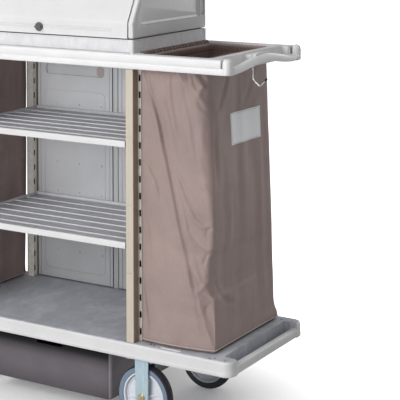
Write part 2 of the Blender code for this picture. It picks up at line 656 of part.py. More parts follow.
# swivel race, (radius, z)
RACE_PROFILE = [(0, 0.1965), (0.0270, 0.1965), (0.0300, 0.2000), (0.0300, 0.2095),
                (0, 0.2095)]
# plan of the swivel fork's crown, (x from the swivel axis, y from the wheel)
CROWN_OUTLINE = [
    (0.026, -0.0245), (0.030, -0.0150), (0.030, 0.0150), (0.026, 0.0245),
    (-TRAIL - 0.040, 0.0245), (-TRAIL - 0.045, 0.0200),
    (-TRAIL - 0.045, -0.0200), (-TRAIL - 0.040, -0.0245)]
# ear that carries the brake pedal, (x from the wheel centre, z)
EAR_OUTLINE = [
    (-0.0360, 0.1900), (-0.0380, 0.1990), (-0.0450, 0.2045), (-0.0520, 0.2020),
    (-0.0540, 0.1960), (-0.0500, 0.1890), (-0.0430, 0.1890)]
# brake pedal, (x, z) from its pin
PEDAL_OUTLINE = [
    (0.0045, -0.0040), (0.0045, 0.0035), (0, 0.0055), (-0.0200, 0.0035),
    (-0.0400, -0.0040), (-0.0420, -0.0090), (-0.0400, -0.0095),
    (-0.0200, -0.0030), (-0.0060, -0.0040)]


def wheel_and_axle(tag, x, y):
    centre = (x, y, WHEEL_R)
    phase = -math.pi / 2    # puts a vertex of the tread exactly at the lowest point
    place("axle_bolt_" + tag, lathe(BOLT_PROFILE, centre, 'Y', 14), STEEL,
          origin=centre, smooth=30)
    place("tyre_" + tag, lathe(TYRE_PROFILE, centre, 'Y', 28, phase), TYRE,
          origin=centre, smooth=40)
    place("hub_" + tag, lathe(HUB_PROFILE, centre, 'Y', 24, phase), HUB,
          origin=centre, smooth=35)


def mounting_plate(name, x, y):
    return place(name, box(around(x, PLATE_HX), around(y, PLATE_HY),
                           (UNDER_DECK_Z - PLATE_T, UNDER_DECK_Z)), ZINC)


def fuse_leg(fork, name, sign, x, y, top, lean=0.0):
    """Fork leg with a rounded end round the axle; lean moves its top along X."""
    outline = [(x + lean - LEG_HX, top)]
    for i in range(9):
        angle = math.radians(180 + 180 * i / 8)
        outline.append((x + (LEG_HX - 0.002) * math.cos(angle),
                        WHEEL_R - 0.004 + (LEG_HX - 0.004) * math.sin(angle)))
    outline.append((x + lean + LEG_HX, top))
    fuse(fork, name, prism(outline, 'Y', span(sign, LEG_Y, LEG_OUT, y)))


def cut_axle_hole(fork, tag, x, y):
    cut(fork, "axle_hole_" + tag,
        prism(circle(x, WHEEL_R, AXLE_HOLE_R, 18), 'Y', around(y, 0.04)))


def rigid_caster(tag, y):
    x = WHEEL_X
    fork = mounting_plate("fork_" + tag, x, y)
    for letter, sign in (("a", -1), ("b", 1)):
        fuse_leg(fork, "leg_%s_%s" % (tag, letter), sign, x, y, UNDER_DECK_Z - 0.002)
    cut_axle_hole(fork, tag, x, y)
    wheel_and_axle(tag, x, y)


def swivel_caster(tag, y):
    """Caster whose wheel trails toward -X, with a brake pedal beyond it."""
    axis_x, x = -SWIVEL_X, -SWIVEL_X - TRAIL
    plate = mounting_plate("caster_plate_" + tag, axis_x, y)
    fuse(plate, "race_" + tag, lathe(RACE_PROFILE, (axis_x, y, 0), 'Z', 20))
    swivel = bpy.data.objects.new("swivel_axis_" + tag, None)
    swivel.location = (axis_x, y, FORK_Z)
    bpy.context.scene.collection.objects.link(swivel)
    fork = place("fork_" + tag, prism(shifted(CROWN_OUTLINE, axis_x, y), 'Z', CROWN_ZS),
                 ZINC, origin=(axis_x, y, FORK_Z), parent=swivel)
    for letter, sign in (("a", -1), ("b", 1)):
        fuse_leg(fork, "leg_%s_%s" % (tag, letter), sign, x, y, FORK_Z, lean=0.008)
        fuse(fork, "ear_%s_%s" % (tag, letter),
             prism(shifted(EAR_OUTLINE, x, 0), 'Y', span(sign, 0.0130, 0.0160, y)))
    cut_axle_hole(fork, tag, x, y)
    pin_x = x + PEDAL_X
    cut(fork, "pedal_hole_" + tag,
        prism(circle(pin_x, PEDAL_Z, 0.0030, 14), 'Y', around(y, 0.03)))
    pedal = place("brake_pedal_" + tag,
                  prism(shifted(PEDAL_OUTLINE, pin_x, PEDAL_Z), 'Y', around(y, 0.0122)),
                  DARK, origin=(pin_x, y, PEDAL_Z))
    fuse(pedal, "pedal_pin_" + tag,
         prism(circle(pin_x, PEDAL_Z, 0.0026, 12), 'Y', around(y, 0.0165)))
    wheel_and_axle(tag, x, y)


# -------------------------------------------------------- box under the deck
BOX_X, BOX_YS = 0.235, (-0.167, 0.183)
BOX_Z0, BOX_Z1, BOX_WALL = 0.0450, 0.1950, 0.004
NOTCH_X, NOTCH_ZS = 0.055, (0.1760, 0.2300)   # notch in the front wall
RUNNER_X0, RUNNER_X1 = BOX_X + 0.0020, BOX_X + 0.0190
RUNNER_T = 0.0025
RUNNER_WEB_X = RUNNER_X1 - RUNNER_T
RUNNER_Z0 = BOX_Z1 - 0.0075
# runner section round the box flange, (|X|, z)
RUNNER_PROFILE = [
    (RUNNER_X0, RUNNER_Z0), (RUNNER_X0, RUNNER_Z0 + RUNNER_T),
    (RUNNER_WEB_X, RUNNER_Z0 + RUNNER_T), (RUNNER_WEB_X, BOX_Z1 + 0.0008),
    (RUNNER_X0, BOX_Z1 + 0.0008), (RUNNER_X0, UNDER_DECK_Z),
    (RUNNER_X1, UNDER_DECK_Z), (RUNNER_X1, RUNNER_Z0)]


def under_box():
    xs = around(0, BOX_X)
    tub = place("under_box", prism(round_rect(xs, BOX_YS, 0.012, 3), 'Z',
                                   (BOX_Z0, BOX_Z1)), DARK)
    well = round_rect(grown(xs, -BOX_WALL), grown(BOX_YS, -BOX_WALL), 0.009, 3)
    cut(tub, "under_box_well", prism(well, 'Z', (BOX_Z0 + BOX_WALL, BOX_Z1 + 2 * PAST)))
    # side flanges that ride in the runners
    flanges = bmesh.new()
    for sign in SIGNS:
        box(span(sign, BOX_X - 0.002, BOX_X + 0.014), grown(BOX_YS, -0.012),
            (BOX_Z1 - 0.0045, BOX_Z1 - 0.0005), flanges)
    fuse(tub, "under_box_flanges", flanges)
    cut(tub, "pull_notch", prism(
        round_rect(around(0, NOTCH_X), NOTCH_ZS, 0.010, 3), 'Y',
        (BOX_YS[0] - PAST, BOX_YS[0] + 0.0045)))
    for side, sign in SIDES:
        place("box_runner_" + side, prism(mirrored(RUNNER_PROFILE, sign), 'Y',
                                          grown(BOX_YS, -0.004)), ZINC)


# ---------------------------------------------------------------------- build
for old in list(bpy.data.objects):
    bpy.data.objects.remove(old, do_unlink=True)

lower_deck()
top_deck()
for end_name, end_sign in ENDS:
    for side_name, side_sign in SIDES:
        upright("%s_%s" % (end_name, side_name), side_sign, end_sign)
    rigid_caster(end_name + "_right", end_sign * WHEEL_Y)
    swivel_caster(end_name + "_left", end_sign * WHEEL_Y)
rear_wall()
for level_name, shelf_top in SHELF_TOPS.items():
    shelf(level_name, shelf_top)
hood_body()
hood_lid()
lid_latch()
organizer_tray()
for side_name, side_sign in SIDES:
    linen_bag(side_name, side_sign)
    bag_hoop(side_name, side_sign)
    utility_hook(side_name, side_sign)
under_box()
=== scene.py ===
"""Looks for the housekeeping cart: fine meshes, fabric and materials built
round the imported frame. Metres, same frame as the CAD part."""
import json
import math
import random

import bmesh
import bpy
import numpy as np
from mathutils import Matrix, Vector
from mathutils.bvhtree import BVHTree

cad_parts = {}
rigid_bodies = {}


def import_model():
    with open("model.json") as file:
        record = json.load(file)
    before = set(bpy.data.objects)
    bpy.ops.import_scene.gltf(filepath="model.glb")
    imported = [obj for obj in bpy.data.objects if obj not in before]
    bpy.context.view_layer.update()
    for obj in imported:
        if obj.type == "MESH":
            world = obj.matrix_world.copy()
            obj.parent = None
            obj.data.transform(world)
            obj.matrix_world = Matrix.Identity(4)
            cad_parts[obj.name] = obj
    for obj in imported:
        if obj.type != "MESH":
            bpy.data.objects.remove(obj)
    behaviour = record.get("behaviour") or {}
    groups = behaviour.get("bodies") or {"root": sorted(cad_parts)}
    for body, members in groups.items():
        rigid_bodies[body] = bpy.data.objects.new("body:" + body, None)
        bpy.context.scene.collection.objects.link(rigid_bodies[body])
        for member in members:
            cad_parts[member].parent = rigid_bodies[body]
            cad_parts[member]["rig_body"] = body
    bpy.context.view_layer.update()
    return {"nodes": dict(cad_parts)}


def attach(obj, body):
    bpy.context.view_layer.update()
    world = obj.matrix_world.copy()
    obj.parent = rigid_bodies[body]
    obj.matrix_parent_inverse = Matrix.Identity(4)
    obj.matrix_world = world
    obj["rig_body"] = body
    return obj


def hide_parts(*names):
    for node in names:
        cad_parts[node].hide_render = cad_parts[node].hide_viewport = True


for ob in list(bpy.data.objects):
    bpy.data.objects.remove(ob, do_unlink=True)

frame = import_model()
COL = bpy.context.scene.collection
SIDES = (("left", -1), ("right", 1))
ENDS = (("front", -1), ("rear", 1))


# =================================================================== helpers
def span(s, a, b):
    return (s * a, s * b) if s > 0 else (s * b, s * a)


def put(name, bm, mat, body="cart", smooth=35, replaces=(), bake=False):
    bmesh.ops.recalc_face_normals(bm, faces=bm.faces)
    mesh = bpy.data.meshes.new(name)
    bm.to_mesh(mesh)
    bm.free()
    ob = bpy.data.objects.new(name, mesh)
    COL.objects.link(ob)
    for m in (mat if isinstance(mat, (list, tuple)) else [mat]):
        mesh.materials.append(m)
    if smooth is not None:
        mesh.shade_smooth()
        mesh.set_sharp_from_angle(angle=math.radians(smooth))
    if body:
        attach(ob, body)
    if replaces:
        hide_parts(*replaces)
    return ob


def bake_mods(ob, smooth=35):
    dg = bpy.context.evaluated_depsgraph_get()
    dg.update()
    mesh = bpy.data.meshes.new_from_object(ob.evaluated_get(dg))
    mats = [s for s in ob.data.materials]
    ob.modifiers.clear()
    ob.data = mesh
    mesh.materials.clear()
    for m in mats:
        mesh.materials.append(m)
    if smooth is not None:
        mesh.shade_smooth()
        mesh.set_sharp_from_angle(angle=math.radians(smooth))
    return ob


def boolean(ob, bm, op='DIFFERENCE', keep_smooth=None):
    """Apply one closed tool at once; shapes inside one tool must not overlap."""
    bmesh.ops.recalc_face_normals(bm, faces=bm.faces)
    mesh = bpy.data.meshes.new("tool")
    bm.to_mesh(mesh)
    bm.free()
    tool = bpy.data.objects.new("tool", mesh)
    COL.objects.link(tool)
    mod = ob.modifiers.new("b", 'BOOLEAN')
    mod.operation = op
    mod.solver = 'EXACT'
    mod.object = tool
    bake_mods(ob, keep_smooth)
    bpy.data.objects.remove(tool, do_unlink=True)
    return ob


def bevel(ob, width, seg=3, angle=40, profile=0.5):
    mod = ob.modifiers.new("edge", 'BEVEL')
    mod.width = width
    mod.segments = seg
    mod.limit_method = 'ANGLE'
    mod.angle_limit = math.radians(angle)
    mod.profile = profile
    mod.miter_outer = 'MITER_ARC'
    mod.harden_normals = True
    ob.data.shade_smooth()
    return ob


def add_box(bm, x0, x1, y0, y1, z0, z1):
    m = (Matrix.Translation(((x0 + x1) / 2, (y0 + y1) / 2, (z0 + z1) / 2))
         @ Matrix.Diagonal((abs(x1 - x0), abs(y1 - y0), abs(z1 - z0), 1)))
    return bmesh.ops.create_cube(bm, size=1.0, matrix=m)


def box(*d):
    bm = bmesh.new()
    add_box(bm, *d)
    return bm


def add_prism(bm, pts, axis, lo, hi):
    def at(p, t):
        if axis == 'X':
            return (t, p[0], p[1])
        if axis == 'Y':
            return (p[0], t, p[1])
        return (p[0], p[1], t)
    verts = [bm.verts.new(at(p, lo)) for p in pts]
    face = bm.faces.new(verts)
    out = bmesh.ops.extrude_face_region(bm, geom=[face])
    moved = [g for g in out["geom"] if isinstance(g, bmesh.types.BMVert)]
    vec = {'X': (hi - lo, 0, 0), 'Y': (0, hi - lo, 0), 'Z': (0, 0, hi - lo)}[axis]
    bmesh.ops.translate(bm, verts=moved, vec=vec)


def prism(pts, axis, lo, hi):
    bm = bmesh.new()
    add_prism(bm, pts, axis, lo, hi)
    return bm


def round_rect(x0, x1, y0, y1, r, seg=6):
    pts = []
    for cx, cy, a0 in ((x1 - r, y1 - r, 0), (x0 + r, y1 - r, 90),
                       (x0 + r, y0 + r, 180), (x1 - r, y0 + r, 270)):
        for i in range(seg + 1):
            a = math.radians(a0 + 90.0 * i / seg)
            pts.append((cx + r * math.cos(a), cy + r * math.sin(a)))
    return pts


def circle(cx, cy, r, n=24):
    return [(cx + r * math.cos(2 * math.pi * i / n),
             cy + r * math.sin(2 * math.pi * i / n)) for i in range(n)]


def lathe(profile, centre, axis='Y', seg=48, phase=0.0, bm=None):
    bm = bm or bmesh.new()
    c = Vector(centre)

    def pt(r, h, a):
        ca, sa = math.cos(a), math.sin(a)
        if axis == 'Y':
            return c + Vector((r * ca, h, r * sa))
        if axis == 'X':
            return c + Vector((h, r * ca, r * sa))
        return c + Vector((r * ca, r * sa, h))
    rings = []
    for r, h in profile:
        if r == 0:
            rings.append([bm.verts.new(pt(0, h, 0))])
        else:
            rings.append([bm.verts.new(pt(r, h, phase + 2 * math.pi * i / seg))
                          for i in range(seg)])
    closed = profile[0][0] != 0
    faces = []
    for k in range(len(rings) if closed else len(rings) - 1):
        a, b = rings[k], rings[(k + 1) % len(rings)]
        for i in range(seg):
            j = (i + 1) % seg
            quad = list(dict.fromkeys([a[i % len(a)], a[j % len(a)],
                                       b[j % len(b)], b[i % len(b)]]))
            faces.append((k, bm.faces.new(quad)))
    return bm, faces


def sweep(points, ring, closed=False, up=(0, 0, 1), bm=None, cap=True):
    bm = bm or bmesh.new()
    n = len(points)
    rings = []
    up = Vector(up)
    for i, p in enumerate(points):
        a = Vector(points[(i - 1) % n] if (closed or i > 0) else points[i])
        b = Vector(points[(i + 1) % n] if (closed or i < n - 1) else points[i])
        t = (b - a).normalized()
        side = t.cross(up).normalized()
        top = side.cross(t).normalized()
        rr = ring(i) if callable(ring) else ring
        rings.append([bm.verts.new(Vector(p) + side * q[0] + top * q[1]) for q in rr])
    m = len(rings[0])
    for i in range(n if closed else n - 1):
        a, b = rings[i], rings[(i + 1) % n]
        for k in range(m):
            l = (k + 1) % m
            bm.faces.new((a[k], a[l], b[l], b[k]))
    if not closed and cap:
        bm.faces.new(rings[0])
        bm.faces.new(rings[-1])
    return bm


def disc_ring(r, n=12):
    return [(r * math.cos(2 * math.pi * i / n), r * math.sin(2 * math.pi * i / n))
            for i in range(n)]


def slab(outline, steps, seg=8):
    """Rounded slab: outline(inset) gives a ring, steps is a list of (inset, z)."""
    bm = bmesh.new()
    rings = [[bm.verts.new((x, y, z)) for x, y in outline(d)] for d, z in steps]
    for a, b in zip(rings[:-1], rings[1:]):
        for i in range(len(a)):
            j = (i + 1) % len(a)
            bm.faces.new((a[i], a[j], b[j], b[i]))
    bm.faces.new(rings[0])
    bm.faces.new(rings[-1])
    return bm


def smooth_path(pts, per=6):
    """Catmull-Rom curve through points."""
    p = [Vector(q) for q in pts]
    p = [p[0] * 2 - p[1]] + p + [p[-1] * 2 - p[-2]]
    out = []
    for i in range(1, len(p) - 2):
        for k in range(per):
            t = k / per
            a, b, c, d = p[i - 1], p[i], p[i + 1], p[i + 2]
            out.append(0.5 * ((2 * b) + (-a + c) * t + (2 * a - 5 * b + 4 * c - d) * t * t
                              + (-a + 3 * b - 3 * c + d) * t ** 3))
    out.append(p[-2])
    return out


def from_cad(node, mat, bev=0.0008, seg=2, body=None, smooth=35, angle=35, name=None):
    """Fine copy of a CAD node: welded, flats merged, edges rounded."""
    src = frame["nodes"][node]
    bm = bmesh.new()
    bm.from_mesh(src.data)
    bmesh.ops.remove_doubles(bm, verts=bm.verts, dist=0.00002)
    bmesh.ops.dissolve_limit(bm, angle_limit=math.radians(1.0), verts=bm.verts,
                             edges=bm.edges)
    owner = body or src["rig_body"]
    ob = put(name or node + "_fine", bm, mat, owner, smooth, (node,))
    if bev:
        bevel(ob, bev, seg, angle)
    return ob


# ================================================================= materials
def nodes_of(name):
    m = bpy.data.materials.new(name)
    m.use_nodes = True
    nt = m.node_tree
    return m, nt, nt.nodes["Principled BSDF"]


def srgb(r, g, b):
    def f(c):
        c /= 255.0
        return c / 12.92 if c <= 0.04045 else ((c + 0.055) / 1.055) ** 2.4
    return (f(r), f(g), f(b))


def link(nt, a, ao, b, bi):
    nt.links.new(a.outputs[ao], b.inputs[bi])


def noise(nt, coord, scale, detail=3.0, rough=0.5, distort=0.0):
    n = nt.nodes.new("ShaderNodeTexNoise")
    n.inputs["Scale"].default_value = scale
    n.inputs["Detail"].default_value = detail
    n.inputs["Roughness"].default_value = rough
    n.inputs["Distortion"].default_value = distort
    link(nt, coord[0], coord[1], n, "Vector")
    return n


def ramp(nt, src, out, stops):
    r = nt.nodes.new("ShaderNodeValToRGB")
    el = r.color_ramp.elements
    while len(el) > 1:
        el.remove(el[-1])
    el[0].position = stops[0][0]
    el[0].color = (*stops[0][1], 1)
    for p, c in stops[1:]:
        e = el.new(p)
        e.color = (*c, 1)
    link(nt, src, out, r, "Fac")
    return r


def mixc(nt, fac, a, b, mode='MIX'):
    """Colour mix: each of fac, a, b is a value or a (node, output)."""
    m = nt.nodes.new("ShaderNodeMix")
    m.data_type = 'RGBA'
    m.blend_type = mode
    for val, idx in ((fac, 0), (a, 6), (b, 7)):
        if isinstance(val, tuple) and len(val) == 2 and hasattr(val[0], "outputs"):
            nt.links.new(val[0].outputs[val[1]], m.inputs[idx])
        elif idx == 0:
            m.inputs[0].default_value = val
        else:
            m.inputs[idx].default_value = (*val, 1)
    return (m, 2)


def math_node(nt, op, a, b=0.0, clamp=False):
    m = nt.nodes.new("ShaderNodeMath")
    m.operation = op
    m.use_clamp = clamp
    for val, idx in ((a, 0), (b, 1)):
        if isinstance(val, tuple):
            nt.links.new(val[0].outputs[val[1]], m.inputs[idx])
        else:
            m.inputs[idx].default_value = val
    return (m, 0)


def bump(nt, bsdf, height, strength, dist, prev=None):
    b = nt.nodes.new("ShaderNodeBump")
    b.inputs["Strength"].default_value = strength
    b.inputs["Distance"].default_value = dist
    nt.links.new(height[0].outputs[height[1]], b.inputs["Height"])
    if prev is not None:
        nt.links.new(prev.outputs[0], b.inputs["Normal"])
    nt.links.new(b.outputs[0], bsdf.inputs["Normal"])
    return b


def plastic(name, rgb, rough=0.45, mottle=0.05, mottle_scale=9.0, grain=900.0,
            grain_bump=0.12, wear=0.10, occl_shade=0.25, distort=0.6, cloud=None,
            streak=None, spec=0.4, reach=0.02):
    """Moulded polymer: tint drift, leather grain, lighter worn edges, painted shade in corners and
    recesses.
    """
    m, nt, bsdf = nodes_of(name)
    tc = nt.nodes.new("ShaderNodeTexCoord")
    co = (tc, "Object")
    lo = tuple(c * (1 - mottle) for c in rgb)
    hi = tuple(min(1, c * (1 + mottle)) for c in rgb)
    big = noise(nt, co, mottle_scale, 5.0, 0.55, distort)
    col = ramp(nt, big, "Fac", [(0.35, lo), (0.65, hi)])
    cur = (col, "Color")
    if cloud:
        sc, amt, tint = cloud
        c = noise(nt, co, sc, 6.0, 0.62, 1.6)
        f = ramp(nt, c, "Fac", [(0.42, (0, 0, 0)), (0.66, (1, 1, 1))])
        fac = math_node(nt, 'MULTIPLY', (f, "Color"), amt)
        cur = mixc(nt, fac, cur, tint)
    if streak:
        sc, amt, tint = streak
        mp = nt.nodes.new("ShaderNodeMapping")
        mp.inputs["Scale"].default_value = sc
        link(nt, tc, "Object", mp, "Vector")
        c = noise(nt, (mp, "Vector"), 1.0, 5.0, 0.6, 0.8)
        f = ramp(nt, c, "Fac", [(0.52, (0, 0, 0)), (0.70, (1, 1, 1))])
        fac = math_node(nt, 'MULTIPLY', (f, "Color"), amt)
        cur = mixc(nt, fac, cur, tint)
    speck = noise(nt, co, 420.0, 2.0, 0.5)
    sp = ramp(nt, speck, "Fac", [(0.30, tuple(c * 0.93 for c in (1, 1, 1))),
                                 (0.55, (1, 1, 1))])
    cur = mixc(nt, 1.0, cur, (sp, "Color"), 'MULTIPLY')
    geo = nt.nodes.new("ShaderNodeNewGeometry")
    edge = ramp(nt, geo, "Pointiness", [(0.505, (0, 0, 0)), (0.56, (1, 1, 1))])
    efac = math_node(nt, 'MULTIPLY', (edge, "Color"), wear)
    cur = mixc(nt, efac, cur, tuple(min(1, c * 1.25 + 0.05) for c in rgb))
    # painted shade: ambient occlusion darkens the colour in corners and recesses, near black when the
    # reach is long
    ao = nt.nodes.new("ShaderNodeAmbientOcclusion")
    ao.samples = 4
    ao.inputs["Distance"].default_value = reach
    inv = math_node(nt, 'SUBTRACT', 1.0, (ao, "AO"), True)
    shade_fac = math_node(nt, 'MULTIPLY', inv, occl_shade, True)
    cur = mixc(nt, shade_fac, cur, tuple(c * (0.35 if reach < 0.05 else 0.06) for c in rgb))
    nt.links.new(cur[0].outputs[cur[1]], bsdf.inputs["Base Color"])
    rr = noise(nt, co, 60.0, 3.0, 0.5)
    r2 = ramp(nt, rr, "Fac", [(0.3, (rough * 0.85,) * 3), (0.7, (min(1, rough * 1.18),) * 3)])
    link(nt, r2, "Color", bsdf, "Roughness")
    vor = nt.nodes.new("ShaderNodeTexVoronoi")
    vor.inputs["Scale"].default_value = grain
    link(nt, tc, "Object", vor, "Vector")
    b1 = bump(nt, bsdf, (vor, "Distance"), grain_bump, 0.0004)
    bump(nt, bsdf, (big, "Fac"), 0.10, 0.002, b1)
    bsdf.inputs["Specular IOR Level"].default_value = spec
    return m


def metal(name, rgb, rough=0.3, brushed=(2.0, 2.0, 500.0), tint=None, metallic=1.0,
          bump_s=0.06, spangle=0.0):
    m, nt, bsdf = nodes_of(name)
    tc = nt.nodes.new("ShaderNodeTexCoord")
    mp = nt.nodes.new("ShaderNodeMapping")
    mp.inputs["Scale"].default_value = brushed
    link(nt, tc, "Object", mp, "Vector")
    n = noise(nt, (mp, "Vector"), 1.0, 4.0, 0.6)
    col = ramp(nt, n, "Fac", [(0.3, tuple(c * 0.86 for c in rgb)),
                              (0.7, tuple(min(1, c * 1.08) for c in rgb))])
    cur = (col, "Color")
    cl = noise(nt, (tc, "Object"), 55.0, 4.0, 0.6, 0.8)
    f = ramp(nt, cl, "Fac", [(0.45, (0, 0, 0)), (0.62, (1, 1, 1))])
    if tint:
        fac = math_node(nt, 'MULTIPLY', (f, "Color"), 0.55)
        cur = mixc(nt, fac, cur, tint)
    if spangle:
        v = nt.nodes.new("ShaderNodeTexVoronoi")
        v.inputs["Scale"].default_value = 160.0
        link(nt, tc, "Object", v, "Vector")
        g = ramp(nt, v, "Color", [(0.0, (1 - spangle,) * 3), (1.0, (1 + 0 * spangle,) * 3)])
        cur = mixc(nt, 1.0, cur, (g, "Color"), 'MULTIPLY')
    nt.links.new(cur[0].outputs[cur[1]], bsdf.inputs["Base Color"])
    bsdf.inputs["Metallic"].default_value = metallic
    r2 = ramp(nt, cl, "Fac", [(0.3, (rough * 0.8,) * 3), (0.7, (min(1, rough * 1.3),) * 3)])
    link(nt, r2, "Color", bsdf, "Roughness")
    bump(nt, bsdf, (n, "Fac"), bump_s, 0.0003)
    return m


def fabric(name, rgb, dark, scale=1100.0, rough=0.82, sheen=0.35, weave=0.35,
           drift=0.10, spec=0.25):
    """Plain weave: crossed threads in the bump and a faint thread colour."""
    m, nt, bsdf = nodes_of(name)
    tc = nt.nodes.new("ShaderNodeTexCoord")
    co = (tc, "Object")

    def threads(direction, sc):
        w = nt.nodes.new("ShaderNodeTexWave")
        w.wave_type = 'BANDS'
        w.bands_direction = direction
        w.inputs["Scale"].default_value = sc
        w.inputs["Distortion"].default_value = 0.6
        w.inputs["Detail"].default_value = 1.0
        link(nt, tc, "Object", w, "Vector")
        return w
    wx, wy, wz = threads('X', scale), threads('Y', scale), threads('Z', scale)
    a = math_node(nt, 'ADD', (wx, "Fac"), (wy, "Fac"))
    a = math_node(nt, 'MULTIPLY', a, 0.5)
    h = math_node(nt, 'ADD', a, (wz, "Fac"))
    big = noise(nt, co, 7.0, 5.0, 0.6, 0.5)
    col = ramp(nt, big, "Fac", [(0.3, tuple(c * (1 - drift) for c in rgb)),
                                (0.7, tuple(c * (1 + drift) for c in rgb))])
    half = math_node(nt, 'MULTIPLY', h, 0.5)
    fine = ramp(nt, half[0], half[1], [(0.1, (0.90,) * 3), (0.65, (1.0,) * 3)])
    cur = mixc(nt, 1.0, (col, "Color"), (fine, "Color"), 'MULTIPLY')
    fib = noise(nt, co, 300.0, 3.0, 0.6)
    ff = ramp(nt, fib, "Fac", [(0.35, (0.93,) * 3), (0.65, (1.0,) * 3)])
    cur = mixc(nt, 1.0, cur, (ff, "Color"), 'MULTIPLY')
    # painted shade: ambient occlusion darkens the cloth toward the dark colour in folds and seams
    ao = nt.nodes.new("ShaderNodeAmbientOcclusion")
    ao.samples = 4
    ao.inputs["Distance"].default_value = 0.02
    inv = math_node(nt, 'SUBTRACT', 1.0, (ao, "AO"), True)
    shade_fac = math_node(nt, 'MULTIPLY', inv, 0.45)
    cur = mixc(nt, shade_fac, cur, dark)
    nt.links.new(cur[0].outputs[cur[1]], bsdf.inputs["Base Color"])
    bsdf.inputs["Roughness"].default_value = rough
    bsdf.inputs["Sheen Weight"].default_value = sheen
    bsdf.inputs["Sheen Roughness"].default_value = 0.45
    bsdf.inputs["Specular IOR Level"].default_value = spec
    b1 = bump(nt, bsdf, h, weave, 0.0002)
    soft = noise(nt, co, 38.0, 4.0, 0.55, 0.3)
    bump(nt, bsdf, (soft, "Fac"), 0.12, 0.003, b1)
    return m


def fade_z(mat, stops):
    """Painted shade by height: scale a material's colour with height; stops are (height, factor)."""
    nt = mat.node_tree
    bsdf = nt.nodes["Principled BSDF"]
    src = bsdf.inputs["Base Color"].links[0].from_socket
    tc = nt.nodes.new("ShaderNodeTexCoord")
    sep = nt.nodes.new("ShaderNodeSeparateXYZ")
    nt.links.new(tc.outputs["Object"], sep.inputs[0])
    cur = None
    for (za, fa), (zb, fb) in zip(stops[:-1], stops[1:]):
        mr = nt.nodes.new("ShaderNodeMapRange")
        for key, val in (("From Min", za), ("From Max", zb), ("To Min", 1.0),
                         ("To Max", fb / fa)):
            mr.inputs[key].default_value = val
        nt.links.new(sep.outputs["Z"], mr.inputs["Value"])
        mul = nt.nodes.new("ShaderNodeMath")
        mul.operation = 'MULTIPLY'
        nt.links.new(mr.outputs["Result"], mul.inputs[0])
        if cur is None:
            mul.inputs[1].default_value = fa
        else:
            nt.links.new(cur, mul.inputs[1])
        cur = mul.outputs[0]
    vm = nt.nodes.new("ShaderNodeVectorMath")
    vm.operation = 'MULTIPLY'
    nt.links.new(src, vm.inputs[0])
    nt.links.new(cur, vm.inputs[1])
    nt.links.new(vm.outputs["Vector"], bsdf.inputs["Base Color"])
    return mat


WHITE = plastic("polymer_light", (0.74, 0.735, 0.74), rough=0.42, mottle=0.03,
                streak=((6.0, 60.0, 60.0), 0.25, (0.80, 0.80, 0.81)))
HOODW = plastic("polymer_hood", (0.66, 0.655, 0.66), rough=0.42, mottle=0.025)
MOTTLED = plastic("polymer_mottled", (0.63, 0.625, 0.645), rough=0.38, mottle=0.05,
                  mottle_scale=12.0, cloud=(20.0, 0.45, (0.74, 0.73, 0.75)), distort=2.2)
# lower deck tops and trough: darker bluish copy of the deck colour (painted shade) over a real mottled
# swirl
DECKTOP = plastic("polymer_deck", (0.47, 0.485, 0.53), rough=0.42, mottle=0.10,
                  mottle_scale=11.0, cloud=(13.0, 0.65, (0.37, 0.39, 0.44)),
                  streak=((26.0, 9.0, 10.0), 0.6, (0.64, 0.65, 0.69)), distort=1.2)
# rear wall panel: painted shade, darker towards the bottom where the shelves shade it
PANEL = fade_z(plastic("polymer_panel", (0.74, 0.75, 0.77), rough=0.5, mottle=0.03),
               ((0.26, 0.55), (0.45, 0.70), (0.70, 0.92), (0.98, 1.0)))
SHELF = plastic("polymer_shelf", (0.65, 0.655, 0.68), rough=0.45, mottle=0.04)
# darker copy of the shelf colour for the channel floors (painted shade), with streaks
CHANNEL = plastic("polymer_shelf_channel", (0.47, 0.475, 0.50), rough=0.5, mottle=0.06,
                  streak=((5.0, 80.0, 60.0), 0.5, (0.54, 0.55, 0.58)))
BEIGE = plastic("polymer_beige", srgb(192, 182, 168), rough=0.45, mottle=0.03,
                streak=((70.0, 70.0, 5.0), 0.35, srgb(180, 168, 150)))
# brownish-grey block colour: painted shade of the pocket's end wall
BLOCK = plastic("polymer_block", srgb(196, 184, 180), rough=0.5, mottle=0.05)
# darker brown copy of the beige: painted shade on the side faces of the upright covers
BEIGE_SHADED = plastic("polymer_beige_shaded", srgb(140, 124, 108), rough=0.5, mottle=0.04)
CHARCOAL = plastic("polymer_charcoal", srgb(92, 88, 92), rough=0.55, mottle=0.06,
                   wear=0.2, grain_bump=0.2)
# under-deck box front: painted shadow of the deck overhang, near black towards the top, plus long-reach
# occlusion shade
BOXGREY = fade_z(plastic("polymer_box", srgb(112, 107, 112), rough=0.5, mottle=0.08,
                         mottle_scale=5.0, wear=0.2, grain_bump=0.2, occl_shade=1.6, reach=0.12, spec=0.15),
                 ((0.135, 0.86), (0.156, 0.60), (0.172, 0.16), (0.190, 0.03)))
# box side faces: lighter copy of the box colour (painted light), with painted shade towards the top
BOXSIDE = fade_z(plastic("polymer_box_side", srgb(160, 152, 156), rough=0.5, mottle=0.08,
                         mottle_scale=5.0, wear=0.2, grain_bump=0.2, occl_shade=1.0, reach=0.10),
                 ((0.150, 1.0), (0.206, 0.55)))
# darker copy of polymer_light for the lower deck, bumpers and shelf lips: painted shade
LOWW = plastic("polymer_lower", (0.65, 0.645, 0.65), rough=0.42, mottle=0.03,
               streak=((6.0, 60.0, 60.0), 0.25, (0.72, 0.72, 0.73)))
